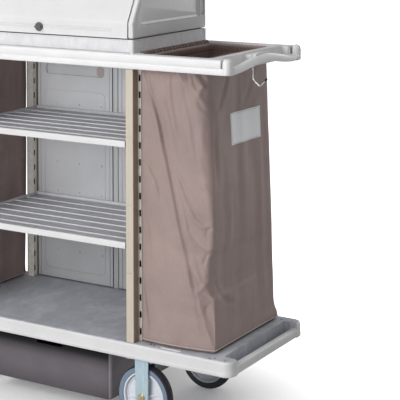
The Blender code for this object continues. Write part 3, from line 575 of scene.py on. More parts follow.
# lighter copy of polymer_light: painted light on the end grip bars and the hood-end ledge, also used for
# the slot plugs
WHITE_LIT = plastic("polymer_light_lit", (0.86, 0.86, 0.865), rough=0.38, mottle=0.03,
                   streak=((40.0, 6.0, 40.0), 0.3, (0.76, 0.76, 0.77)))
PEDAL = plastic("pedal_plastic", srgb(60, 62, 66), rough=0.5, mottle=0.05)
HUB = plastic("hub_plastic", srgb(214, 217, 224), rough=0.32, mottle=0.03,
              grain_bump=0.05, spec=0.5)
TYRE_SIDE = plastic("tyre_side", srgb(112, 128, 148), rough=0.55, mottle=0.05,
                    grain_bump=0.08)
# darker copy of the tyre side colour: painted shade on the inward-facing side walls
TYRE_SIDE_SHADED = plastic("tyre_side_painted_shade", srgb(62, 68, 70), rough=0.55, mottle=0.05,
                    grain_bump=0.08)
TREAD = plastic("tyre_tread", srgb(52, 46, 52), rough=0.65, mottle=0.08,
                grain_bump=0.25, occl_shade=0.4)
CREAM = metal("powder_coat_cream", srgb(234, 230, 222), rough=0.35, metallic=0.10,
              brushed=(90.0, 90.0, 90.0), bump_s=0.1)
ZINC = metal("zinc_plate", srgb(198, 220, 228), rough=0.42, metallic=0.55,
             tint=srgb(176, 205, 222), brushed=(260.0, 260.0, 8.0), spangle=0.06)
STEEL = metal("steel_satin", srgb(205, 206, 208), rough=0.26, metallic=0.95)
BOLT = metal("zinc_yellow", srgb(222, 214, 186), rough=0.25, metallic=0.9,
             tint=srgb(206, 178, 120))
# near-black painted shade for tube interiors, the sheets behind the slots, deck holes and the mullion
# gap
SHADE = plastic("painted_shade_black", srgb(20, 19, 18), rough=0.8, mottle=0.1, spec=0.1)
RUBBER = plastic("tip_rubber", srgb(24, 24, 26), rough=0.6, mottle=0.05)
CLOTH = fabric("bag_cloth", srgb(159, 140, 135), srgb(70, 54, 50), rough=0.60,
               sheen=0.10, spec=0.35)
# lighter copy of the bag cloth for the inner face of the sheet: painted light inside the bag
CLOTH_INSIDE_LIT = fabric("bag_cloth_inside_lit", srgb(196, 170, 160), srgb(90, 72, 66), rough=0.65,
                sheen=0.10, spec=0.3)
GATHER = fabric("bag_gather", srgb(118, 98, 92), srgb(60, 46, 42), rough=0.60,
                sheen=0.10, spec=0.35)
# lighter copy of the binding cloth on the foot piping: painted highlight
PIPING = fabric("bag_piping_cloth", srgb(188, 170, 162), srgb(110, 92, 86), scale=900.0,
                rough=0.5, spec=0.45)
BINDING = fabric("bag_binding", srgb(146, 126, 118), srgb(70, 54, 50), scale=900.0,
                 rough=0.55, spec=0.45)
PATCH = fabric("patch_cloth", srgb(248, 250, 252), srgb(196, 198, 202),
               scale=1400.0, drift=0.03, sheen=0.1, weave=0.2)
THREAD = fabric("patch_thread", srgb(150, 140, 136), srgb(90, 80, 76), scale=2000.0)


# ==================================================================== decks
HL, HW, CR = 0.700, 0.232, 0.028
LOW0, LOW1, TOP0, TOP1 = 0.2125, 0.2585, 1.0785, 1.1235


def outline(d):
    return round_rect(-HL + d, HL - d, -HW + d, HW - d, max(CR - d, 0.006), 10)


def top_deck():
    z0, z1 = TOP0, TOP1
    steps = [(0.0110, z0 + 0.0002), (0.0030, z0 + 0.0002), (0.0010, z0 + 0.0008),
             (0.0001, z0 + 0.0026), (0.0001, z0 + 0.0172), (0.0016, z0 + 0.0188),
             (0.0016, z0 + 0.0194), (0.0005, z0 + 0.0206),
             (0.0006, z1 - 0.0070), (0.0013, z1 - 0.0038), (0.0033, z1 - 0.0014),
             (0.0064, z1 - 0.0003), (0.0100, z1)]
    ob = put("top_deck_shell", slab(outline, steps), WHITE, "cart", None,
             ("top_deck",))
    bm = bmesh.new()
    for _, s in SIDES:
        x0, x1 = span(s, 0.376, 0.622)
        add_prism(bm, round_rect(x0, x1, -0.202, 0.208, 0.018, 5), 'Z', 1.05, 1.15)
        for t in (-1, 1):
            y0, y1 = span(t, 0.045, 0.190)
            x0, x1 = span(s, 0.645, 0.705)
            add_prism(bm, round_rect(x0, x1, y0, y1, 0.011, 5), 'Z', 1.05, 1.15)
    boolean(ob, bm)
    bm = bmesh.new()
    for _, s in SIDES:
        x0, x1 = span(s, 0.6690, 0.72)
        add_prism(bm, round_rect(x0, x1, -0.1975, 0.1975, 0.010, 5), 'Z', 1.05, 1.15)
    boolean(ob, bm)
    bm = bmesh.new()
    for _, s in SIDES:                     # lower the middle web a little
        x0, x1 = span(s, 0.6445, 0.72)
        add_box(bm, x0, x1, -0.06, 0.06, 1.1205, 1.15)
        add_box(bm, x0, x1, -0.06, 0.06, 1.05, 1.0970)
    boolean(ob, bm)
    bm = bmesh.new()
    for _, s in SIDES:                     # small fixing holes beside the bars
        for t in (-1, 1):
            add_prism(bm, circle(s * 0.6585, t * 0.2065, 0.0032, 12), 'Z', 1.1165, 1.13)
    add_box(bm, -0.330, 0.330, -0.205, 0.205, 1.06, 1.0990)
    boolean(ob, bm)
    for _, s in SIDES:                     # the deck steps down round each corner
        for t in (-1, 1):
            boolean(ob, prism([(s * px, t * py) for px, py in
                               ((0.6706, 0.1960), (0.72, 0.1960), (0.72, 0.25),
                                (0.6706, 0.25))],
                              'Z', 1.0985, 1.15))
    # narrow slot beside each rear corner post
    bm = bmesh.new()
    for _, s in SIDES:
        x0, x1 = span(s, 0.6480, 0.6620)
        add_prism(bm, round_rect(x0, x1, 0.2145, 0.2175, 0.0014, 3), 'Z', 1.1180, 1.13)
    boolean(ob, bm)
    bevel(ob, 0.0034, 4, 52)
    for side, s in SIDES:                  # low stop on the front rail by the hood
        x0, x1 = span(s, 0.3545, 0.3655)
        lug = put("rail_stop_" + side,
                  prism(round_rect(x0, x1, -0.2262, -0.2148, 0.0035, 4), 'Z',
                        z1 - 0.0010, z1 + 0.0038), WHITE, "cart", 40, ())
        bevel(lug, 0.0016, 3, 50)
    return ob


top_deck()


def bar_centre(y):
    arch = (1 + math.cos(math.pi * min(1.0, abs(y) / 0.206))) / 2
    return 1.0868 + 0.0212 * arch, 0.0095 + 0.0035 * arch ** 0.5


for side, s in SIDES:
    pts, hs = [], []
    for i in range(65):
        y = -0.2085 + 0.417 * i / 64
        z, h = bar_centre(y)
        # ends draw in toward the corner blocks
        e = max(0.0, abs(y) - 0.185) / 0.0235
        pts.append((s * (HL - 0.0142 - 0.0015 * e), y, z))
        hs.append((h, 0.0141 - 0.0006 * e))

    def ring(i):
        h, w = hs[i]
        out = []
        for k in range(28):
            a = 2 * math.pi * (k + 0.5) / 28
            ca, sa = math.cos(a), math.sin(a)
            out.append((w * math.copysign(abs(ca) ** 0.92, ca),
                        h * math.copysign(abs(sa) ** 0.92, sa)))
        return out
    # end grip bar in the lighter white copy: painted light
    put("end_handle_" + side, sweep(pts, ring), WHITE_LIT, "cart", 60, ())

    # web between the hand holes: a saddle that runs up onto the bar
    bm = bmesh.new()
    rows = []
    for i in range(13):
        u = i / 12
        x = 0.6430 + 0.0440 * u
        top = 1.1195 + 0.0055 * math.sin(math.pi * 0.5 * u) ** 2
        bot = 1.1000 + 0.0040 * u
        wid = 0.0415 + 0.0080 * (2 * u - 1) ** 4
        row = []
        for k in range(24):
            a = 2 * math.pi * k / 24
            ca, sa = math.cos(a), math.sin(a)
            yy = wid * math.copysign(abs(ca) ** 0.35, ca)
            zz = (top + bot) / 2 + (top - bot) / 2 * math.copysign(abs(sa) ** 0.5, sa)
            row.append(bm.verts.new((s * x, yy, zz)))
        rows.append(row)
    for a, b in zip(rows[:-1], rows[1:]):
        for k in range(24):
            l = (k + 1) % 24
            bm.faces.new((a[k], a[l], b[l], b[k]))
    bm.faces.new(rows[0])
    bm.faces.new(rows[-1])
    put("handle_web_" + side, bm, WHITE, "cart", 50, ())

    # rounded corner posts of the top deck
    for end, t in ENDS:
        prof = [(0, TOP1 + 0.0036), (0.0040, TOP1 + 0.0033), (0.0078, TOP1 + 0.0020),
                (0.0108, TOP1 - 0.0004), (0.0130, TOP1 - 0.0042), (0.0141, TOP1 - 0.0086),
                (0.0145, TOP1 - 0.0120), (0.0145, TOP0 + 0.0090), (0.0142, TOP0 + 0.0045),
                (0.0130, TOP0 + 0.0017), (0.0108, TOP0 + 0.0005), (0, TOP0 + 0.0005)]
        bm, _ = lathe(prof, (s * 0.6854, t * 0.2174, 0), 'Z', 40)
        put("corner_post_%s_%s" % (end, side), bm, WHITE, "cart", 50, ())


def lower_deck():
    z0, z1 = LOW0, LOW1
    steps = [(0.0120, z0 + 0.0002), (0.0040, z0 + 0.0002), (0.0012, z0 + 0.0010),
             (0.0002, z0 + 0.0032), (0.0001, z0 + 0.0120), (0.0006, z0 + 0.0128),
             (0.0010, z0 + 0.0140), (0.0010, z1 - 0.0085), (0.0016, z1 - 0.0046),
             (0.0034, z1 - 0.0018), (0.0064, z1 - 0.0004), (0.0100, z1)]
    ob = put("lower_deck_shell", slab(outline, steps), [LOWW, DECKTOP], "cart", None,
             ("lower_deck",))
    ob.data.materials.append(SHADE)
    bm = bmesh.new()
    for _, s in SIDES:
        x0, x1 = span(s, 0.6530, 0.6765)
        add_prism(bm, round_rect(x0, x1, -0.191, 0.191, 0.0105, 6), 'Z', 0.2175, 0.29)
    boolean(ob, bm)
    bm = bmesh.new()
    for _, s in SIDES:
        x0, x1 = span(s, 0.6700, 0.72)
        add_prism(bm, round_rect(x0, x1, -0.1900, 0.1900, 0.009, 5), 'Z', 0.2360, 0.29)
    boolean(ob, bm)
    bm = bmesh.new()
    for _, s in SIDES:
        add_box(bm, *span(s, 0.6935, 0.72), -0.1892, 0.1892, 0.20, 0.28)
    boolean(ob, bm)
    bm = bmesh.new()
    for _, s in SIDES:
        # screws near the corners, plugs and a shallow location slot by the bag
        for x, y, r in ((0.6240, -0.2215, 0.0027), (0.6390, -0.2150, 0.0027),
                        (0.6745, -0.2190, 0.0027), (0.6380, 0.1985, 0.0030),
                        (0.6755, 0.1975, 0.0030), (0.4120, -0.2060, 0.0035),
                        (0.4245, -0.2070, 0.0035), (0.3270, -0.2160, 0.0025)):
            add_prism(bm, circle(s * x, y, r, 12), 'Z', z1 - 0.0040, z1 + 0.01)
        x0, x1 = span(s, 0.4520, 0.5240)
        add_prism(bm, round_rect(x0, x1, -0.2200, -0.2130, 0.0034, 4), 'Z',
                  z1 - 0.0016, z1 + 0.01)
    boolean(ob, bm)
    screws = ((0.6240, -0.2215), (0.6390, -0.2150), (0.6745, -0.2190),
              (0.6380, 0.1985), (0.6755, 0.1975), (0.4120, -0.2060),
              (0.4245, -0.2070), (0.3270, -0.2160))
    # top faces and the trough take the darker deck copy: painted shade
    for p in ob.data.polygons:
        c = p.center
        trough = 0.652 < abs(c.x) < 0.6925 and abs(c.y) < 0.1925 and c.z < 0.2570
        p.material_index = 1 if (p.normal.z > 0.6 and c.z > 0.255) or trough else 0
        # hole and slot floors and the screw-hole walls take the black painted shade
        if p.normal.z > 0.99 and z1 - 0.0044 < c.z < z1 - 0.0012 and p.area < 5e-4:
            p.material_index = 2
        if c.z > z1 - 0.0045 and any(math.hypot(abs(c.x) - hx, c.y - hy) < 0.0038
                                     for hx, hy in screws):
            p.material_index = 2
    bevel(ob, 0.0030, 4, 52)
    for side, s in SIDES:
        # rounded bumper bar outside the trough
        prof = []
        for k in range(40):
            a = 2 * math.pi * (k + 0.5) / 40
            ca, sa = math.cos(a), math.sin(a)
            prof.append((0.0128 * math.copysign(abs(ca) ** 0.7, ca),
                         0.0142 * math.copysign(abs(sa) ** 0.72, sa)))
        pts = []
        for i in range(41):
            y = -0.1965 + 0.393 * i / 40
            e = max(0.0, abs(y) - 0.165) / 0.0315
            pts.append((s * 0.6870, y, 0.2269 + 0.0022 * e * e))
        put("end_bumper_" + side, sweep(pts, prof), LOWW, "cart", 60, ())
        # light strip seated in the location slot
        x0, x1 = span(s, 0.4532, 0.5228)
        sl = put("slot_plug_" + side, prism(round_rect(x0, x1, -0.2194, -0.2136, 0.0026, 4),
                                            'Z', z1 - 0.0015, z1 + 0.0014), WHITE_LIT,
                 "cart", 30, ())
        bevel(sl, 0.0005, 2, 50)
    return ob


lower_deck()

# ================================================================= uprights
for end, t in ENDS:
    for side, s in SIDES:
        tag = "%s_%s" % (end, side)
        x = s * 0.3500
        tube = from_cad("upright_" + tag, [CREAM, SHADE], 0, 2, angle=50)
        bm = bmesh.new()                   # crisp slots through the flange
        for k in range(16):
            zc = 1.0489 - 0.0508 * k
            add_box(bm, *span(s, 0.3640, 0.3717), *sorted((t * 0.1934, t * 0.1990)),
                    zc - 0.0099, zc + 0.0099)
        boolean(tube, bm, keep_smooth=30)
        bevel(tube, 0.0004, 2, 50)
        # interior faces of the tube take the black painted shade
        for p in tube.data.polygons:
            c = p.center
            if (abs(c.x - x) < 0.0108 and 0.1855 < abs(c.y) < 0.2225
                    and 0.262 < c.z < 1.075):
                p.material_index = 1
        # dark sheet behind the slotted flange: painted shade seen through the slots
        x0, x1 = span(s, 0.3626, 0.3722)
        ln = put("flange_shade_sheet_" + tag, box(x0, x1, *sorted((t * 0.1925, t * 0.1933)),
                                            0.2600, 1.0770), SHADE, "cart", None, ())
        bevel(ln, 0.0003, 2, 50)
        h, c, r = 0.0145, 0.0016, 0.0032
        yo, yi = t * 0.226, t * 0.2005
        pts = [(x - h, yi)]
        for k in range(8):
            a = math.radians(180 - 90 * k / 7)
            pts.append((x - h + r + r * math.cos(a), yo - t * r + t * r * math.sin(a)))
        for k in range(8):
            a = math.radians(90 - 90 * k / 7)
            pts.append((x + h - r + r * math.cos(a), yo - t * r + t * r * math.sin(a)))
        pts += [(x + h, yi), (x + h - c, yi)]
        q = r - c
        for k in range(5):
            a = math.radians(90 * k / 4)
            pts.append((x + h - r + q * math.cos(a), yo - t * r + t * q * math.sin(a)))
        for k in range(5):
            a = math.radians(90 + 90 * k / 4)
            pts.append((x - h + r + q * math.cos(a), yo - t * r + t * q * math.sin(a)))
        pts.append((x - h + c, yi))
        ob = put("cover_" + tag, prism(pts, 'Z', 0.2590, 1.0780), [BEIGE, BEIGE_SHADED],
                 "cart", None, ("upright_cover_" + tag,))
        bm = bmesh.new()
        for z in (0.2630 + 0.2034 * k for k in range(1, 5)):
            add_box(bm, x - 0.02, x + 0.02, *sorted((yo - t * 0.0013, yo + t * 0.01)),
                    z - 0.0010, z + 0.0010)
        boolean(ob, bm, keep_smooth=30)
        # side-facing faces take the shaded beige copy: painted shade
        for p in ob.data.polygons:
            p.material_index = 1 if abs(p.normal.x) > 0.45 else 0

# ================================================================ rear wall
for side, s in SIDES:
    x0, x1 = span(s, 0.0102, 0.3344)
    ob = put("rear_wall_" + side, box(x0, x1, 0.2080, 0.2200, 0.2592, 1.0780), PANEL,
             "cart", None, ("rear_panel_" + side,))
    bm = bmesh.new()
    # fine channel round the embossed field
    x0, x1 = span(s, 0.043, 0.303)
    add_prism(bm, round_rect(x0, x1, 0.293, 0.9215, 0.022, 6), 'Y', 0.19, 0.2094)
    # pocket at the top
    a0, a1 = span(s, 0.048, 0.298)
    add_prism(bm, round_rect(a0, a1, 0.9740, 1.0110, 0.012, 6), 'Y', 0.19, 0.2168)
    # vertical flute beside the mullion and at the outer edge
    for q in (0.0245, 0.3210):
        b0, b1 = span(s, q, q + 0.0022)
        add_box(bm, b0, b1, 0.19, 0.2102, 0.20, 1.10)
    boolean(ob, bm)
    for y0, y1 in ((0.2170, 0.2300),):     # matching field on the outside
        bm = bmesh.new()
        add_prism(bm, round_rect(x0, x1, 0.293, 0.9215, 0.022, 6), 'Y', 0.2186, y1)
        boolean(ob, bm)
    bevel(ob, 0.0009, 3, 50)
    b0, b1 = span(s, 0.0490, 0.0800)
    blk = put("rear_pocket_block_" + side,
              prism(round_rect(b0, b1, 0.9746, 1.0104, 0.0090, 5), 'Y', 0.2092, 0.2172),
              BLOCK, "cart", None, ())
    bevel(blk, 0.0012, 3, 50)
    field = put("rear_field_" + side, prism(
        round_rect(x0 + 0.0025, x1 - 0.0025, 0.2955, 0.9190, 0.0195, 6), 'Y',
        0.2078, 0.2100), PANEL, "cart", None, ())
    bevel(field, 0.0011, 3, 50)
    bm = bmesh.new()
    for i in range(3):
        for j in range(6):
            x, z = s * (0.0610 + 0.0940 * i), 0.8730 - 0.1022 * j
            lathe([(0, -0.0026), (0.0022, -0.0023), (0.0038, -0.0013), (0.0046, 0.0001),
                   (0.0046, 0.0009), (0, 0.0009)], (x, 0.2078, z), 'Y', 16, bm=bm)
    put("rear_pips_" + side, bm, PANEL, "cart", 60, ())
bm = box(-0.0090, 0.0090, 0.2052, 0.2200, 0.2592, 1.0780)
ob = put("rear_mullion_bar", bm, PANEL, "cart", None, ("rear_mullion",))
bm = bmesh.new()
for x in (-0.0048, 0.0030):
    add_box(bm, x, x + 0.0018, 0.19, 0.2066, 0.2, 1.1)
boolean(ob, bm)
bevel(ob, 0.0013, 3, 50)
# black strip beside the mullion: painted shade in the gap
shade_strip = put("rear_mullion_shade_strip", box(-0.0142, -0.0096, 0.2071, 0.2079, 0.2630, 1.0776),
             SHADE, "cart", None, ())
bevel(shade_strip, 0.0003, 2, 50)
kick = put("rear_kick_seal", box(-0.3340, 0.3340, 0.2055, 0.2085, 0.2590, 0.2625),
           CHARCOAL, "cart", None, ())
bevel(kick, 0.0008, 2, 50)

# ================================================================== shelves
for level, zt in (("upper", 0.8605), ("lower", 0.5565)):
    zb = zt - 0.0195
    y0, y1 = -0.2280, 0.2040
    base = zt - 0.0090
    crest = zt - 0.0060
    prof = [(y0 + 0.0012, zb), (y0, zb + 0.0012), (y0, zt - 0.0025),
            (y0 + 0.0008, zt - 0.0008), (y0 + 0.0025, zt), (y0 + 0.0062, zt),
            (y0 + 0.0080, zt - 0.0012), (y0 + 0.0084, zt - 0.0040), (y0 + 0.0088, base)]
    n = 7
    pitch = (y1 - y0 - 0.0165) / n
    for k in range(1, n):
        yc = y0 + 0.0085 + pitch * k
        prof += [(yc - 0.0022, base), (yc - 0.0018, crest - 0.0010),
                 (yc - 0.0008, crest), (yc + 0.0030, crest), (yc + 0.0040, crest - 0.0010),
                 (yc + 0.0046, base)]
    prof += [(y1 - 0.0075, base), (y1 - 0.0068, zt - 0.0015), (y1 - 0.0055, zt),
             (y1 - 0.0012, zt), (y1, zt - 0.0012), (y1, zb)]
    ob = put("ribbed_shelf_" + level, prism(prof, 'X', -0.3351, 0.3351),
             [SHELF, LOWW, CHANNEL], "cart", 30, ("shelf_" + level,))
    # channel floors take the darker copy: painted shade
    for p in ob.data.polygons:
        if p.center.y < y0 + 0.0086 and abs(p.normal.x) < 0.5:
            p.material_index = 1
        elif p.normal.z > 0.7 and p.center.z < base + 0.0004:
            p.material_index = 2
    for side, s in SIDES:                 # turned-up ends
        x0, x1 = span(s, 0.3305, 0.3347)
        e = put("shelf_end_%s_%s" % (level, side),
                box(x0, x1, y0 + 0.0015, y1 - 0.0015, zb + 0.001, zt - 0.0005),
                SHELF, "cart", None, ())
        bevel(e, 0.0014, 3, 50)
        from_cad("shelf_bracket_%s_%s" % (level, side), CREAM, 0.0004, 2, angle=50)

# ===================================================================== hood
HX, HY0, HY1, RZ, KZ, TY, HZ = 0.354, -0.210, 0.220, 1.1635, 1.2140, -0.1140, 1.4000
bm = prism(round_rect(-HX, HX, HY0, HY1, 0.010, 6), 'Z', TOP1 + 0.0004, RZ - 0.0006)
ob = put("hood_riser", bm, MOTTLED, "cart", None, ("hood_base",))
boolean(ob, prism(round_rect(-0.328, 0.328, HY0 + 0.006, HY1 - 0.008, 0.006, 4), 'Z',
                  TOP1 + 0.0045, 1.2))
bm = bmesh.new()                           # recessed flats between the corners
add_box(bm, -0.3300, 0.3300, HY0 - 0.01, HY0 + 0.0016, TOP1 - 0.01, RZ - 0.0035)
for _, s in SIDES:
    x0, x1 = span(s, HX - 0.0012, HX + 0.01)
    add_box(bm, x0, x1, HY0 + 0.0120, HY1 - 0.0120, TOP1 - 0.01, RZ - 0.0035)
boolean(ob, bm)
bevel(ob, 0.0014, 3, 50)
for end, t in ENDS:
    for side, s in SIDES:
        cx, cy = s * (HX - 0.0105), (HY0 + 0.0105 if t < 0 else HY1 - 0.0105)
        r = 0.0107
        x0, x1 = span(s, 0.3315, HX + 0.0003)
        yy = (HY0 - 0.0003, HY0 + 0.0125) if t < 0 else (HY1 - 0.0125, HY1 - 0.0001)
        e = put("riser_corner_%s_%s" % (end, side),
                prism(round_rect(x0, x1, yy[0], yy[1], 0.0062, 6), 'Z',
                      TOP1 + 0.0006, RZ - 0.0012), HOODW, "cart", 40, ())
        bevel(e, 0.0012, 3, 50)


def hood_outline(inset=0.0):
    """Side outline of the hood in Y-Z with rounded knee and top corners."""
    key = [(HY0, RZ + 0.0022), (HY0, KZ), (TY, HZ), (HY1, HZ), (HY1, RZ + 0.0022)]
    rad = [0.0, 0.030, 0.038, 0.014, 0.0]
    pts = []
    for i, p in enumerate(key):
        if rad[i] == 0:
            pts.append(Vector(p))
            continue
        a, b, c = Vector(key[i - 1]), Vector(p), Vector(key[i + 1])
        u, v = (a - b).normalized(), (c - b).normalized()
        half = math.acos(max(-1, min(1, u.dot(v)))) / 2
        d = rad[i] / math.tan(half)
        centre = b + (u + v).normalized() * (rad[i] / math.sin(half))
        s0, s1 = b + u * d, b + v * d
        a0 = math.atan2(s0.y - centre.y, s0.x - centre.x)
        a1 = math.atan2(s1.y - centre.y, s1.x - centre.x)
        while a1 - a0 > math.pi:
            a1 -= 2 * math.pi
        while a1 - a0 < -math.pi:
            a1 += 2 * math.pi
        for k in range(9):
            q = a0 + (a1 - a0) * k / 8
            pts.append(centre + Vector((math.cos(q), math.sin(q))) * rad[i])
    return pts


def offset_open(pts, d):
    """Points moved inward (to the right of the travel direction) by d."""
    out = []
    for i, p in enumerate(pts):
        a = pts[max(i - 1, 0)]
        b = pts[min(i + 1, len(pts) - 1)]
        t = (b - a).normalized()
        out.append(p + Vector((t.y, -t.x)) * d)
    return out


full = hood_outline()
for side, s in SIDES:
    x0, x1 = span(s, HX - 0.0195, HX - 0.0004)
    ob = put("hood_end_" + side, prism([(p.x, p.y) for p in full], 'X', x0, x1),
             HOODW, "cart", None, ("hood_side_" + side,))
    # broad soft shoulder from the front edge onto the side
    m = ob.modifiers.new("shoulder", 'BEVEL')
    m.width, m.segments, m.limit_method = 0.0065, 6, 'ANGLE'
    m.angle_limit, m.harden_normals = math.radians(60), True
    bake_mods(ob, None)
    bm = bmesh.new()
    x0, x1 = span(s, HX - 0.0048, HX + 0.02)
    fld = [(HY0 + 0.0480, 1.2040), (0.1810, 1.2040), (0.1810, HZ - 0.026),
           (TY + 0.030, HZ - 0.026), (HY0 + 0.0480, 1.2620)]
    add_prism(bm, fld, 'X', x0, x1)
    x0, x1 = span(s, HX - 0.0080, HX + 0.02)
    add_prism(bm, round_rect(0.1880, 0.2060, 1.2075, HZ - 0.030, 0.0050, 5), 'X', x0, x1)
    boolean(ob, bm)
    x0, x1 = span(s, HX - 0.0078, HX + 0.02)
    boolean(ob, prism(round_rect(0.1660, 0.1705, 1.2180, HZ - 0.040, 0.0020, 3), 'X',
                      x0, x1))
    m = bevel(ob, 0.0016, 3, 50)
    x0, x1 = span(s, HX - 0.0078, HX - 0.0022)
    e = put("hood_end_slider_" + side,
            prism(round_rect(0.1925, 0.2010, 1.2140, HZ - 0.034, 0.0030, 4), 'X', x0, x1),
            HOODW, "cart", None, ())
    bevel(e, 0.0008, 2, 50)
    # proud ledge along the foot of the field, in the lighter white copy: painted highlight
    x0, x1 = span(s, HX - 0.0055, HX - 0.0006)
    e = put("hood_end_ledge_" + side,
            prism([(s * px, pz) for px, pz in
                   ((HX - 0.0060, 1.2036), (HX - 0.0002, 1.2044), (HX + 0.0002, 1.2058),
                    (HX - 0.0044, 1.2128), (HX - 0.0060, 1.2132))],
                  'Y', HY0 + 0.0505, 0.1640), WHITE_LIT, "cart", None, ())
    bevel(e, 0.0010, 3, 50)

IX = HX - 0.0195 - 0.0016
lid_pts = [p for p in full if p.x < 0.19]
start = [Vector((HY0, RZ + 0.0028))] + [p for p in lid_pts[1:]]
start += [Vector((0.1980, HZ))]
start = [p for i, p in enumerate(start) if i == 0 or (p - start[i - 1]).length > 1e-4]
outer = [Vector((p.x, p.y - 0.0002 if p.y > HZ - 1e-4 else p.y)) for p in start]
inner = offset_open(outer, 0.0048)
by, bz, br = 0.2080, 1.3905, 0.0075
barrel = [Vector((by + br * math.cos(math.radians(a)), bz + br * math.sin(math.radians(a))))
          for a in range(100, -150, -12)]
loop = outer + barrel + inner[::-1]
ob = put("hood_cover", prism([(p.x, p.y) for p in loop], 'X', -IX, IX), HOODW, "lid",
         None, ("hood_lid",))
bm = bmesh.new()
add_prism(bm, round_rect(-0.2745, 0.2745, 1.1858, 1.1952, 0.0044, 5), 'Y', HY0 - 0.01,
          HY0 + 0.0012)
boolean(ob, bm)
boolean(ob, prism(circle(0, 1.1880, 0.0090, 28), 'Y', HY0 - 0.02, HY0 + 0.02))
bevel(ob, 0.0009, 3, 50)
bm = bmesh.new()
add_prism(bm, round_rect(-0.2715, 0.2715, 1.1884, 1.1926, 0.0019, 4), 'Y', HY0 + 0.0002,
          HY0 + 0.0030)
boolean_pad = put("hood_cover_rib", bm, HOODW, "lid", None, ())
boolean(boolean_pad, prism(circle(0, 1.1880, 0.0090, 28), 'Y', HY0 - 0.02, HY0 + 0.02))
bevel(boolean_pad, 0.0005, 2, 50)
ob = from_cad("hood_back", HOODW, 0.0008, 2, angle=50)
# stiffening ribs on the outside of the back
bm = bmesh.new()
for i in range(-3, 4):
    add_prism(bm, round_rect(i * 0.090 - 0.0035, i * 0.090 + 0.0035, 1.190, 1.355, 0.003, 3),
              'Y', 0.2188, 0.2212)
put("hood_back_ribs", bm, HOODW, "cart", 40, ())
for side in ("left", "right"):
    from_cad("hinge_pin_" + side, STEEL, 0.0003, 2, angle=50)
from_cad("lid_latch", CHARCOAL, 0.0006, 2, angle=40)
from_cad("organizer_tray", SHELF, 0.0012, 3, angle=50)

# ================================================================= casters
WR, THW, RIN = 0.0921, 0.017, 0.0720
WHEELS = {"front_right": (0.3764, -0.181, "cart"), "rear_right": (0.3764, 0.181, "cart"),
          "front_left": (-0.4070, -0.181, "swivel_front"),
          "rear_left": (-0.4070, 0.181, "swivel_rear")}


def hex_prism(bm, x, y0, y1, z, r, phase=0.0, chamfer=0.0009, out=1):
    """Hexagon head along Y with its outer corners turned down."""
    lo, hi = sorted((y0, y1))
    rings = []
    steps = [(lo, r if out > 0 else r - chamfer), (lo + chamfer, r), (hi - chamfer, r),
             (hi, r - chamfer if out > 0 else r)]
    for y, q in steps:
        rings.append([bm.verts.new((x + q * math.cos(phase + math.pi / 3 * k), y,
                                    z + q * math.sin(phase + math.pi / 3 * k)))
                      for k in range(6)])
    for a, b in zip(rings[:-1], rings[1:]):
        for k in range(6):
            l = (k + 1) % 6
            bm.faces.new((a[k], a[l], b[l], b[k]))
    bm.faces.new(rings[0])
    bm.faces.new(rings[-1])


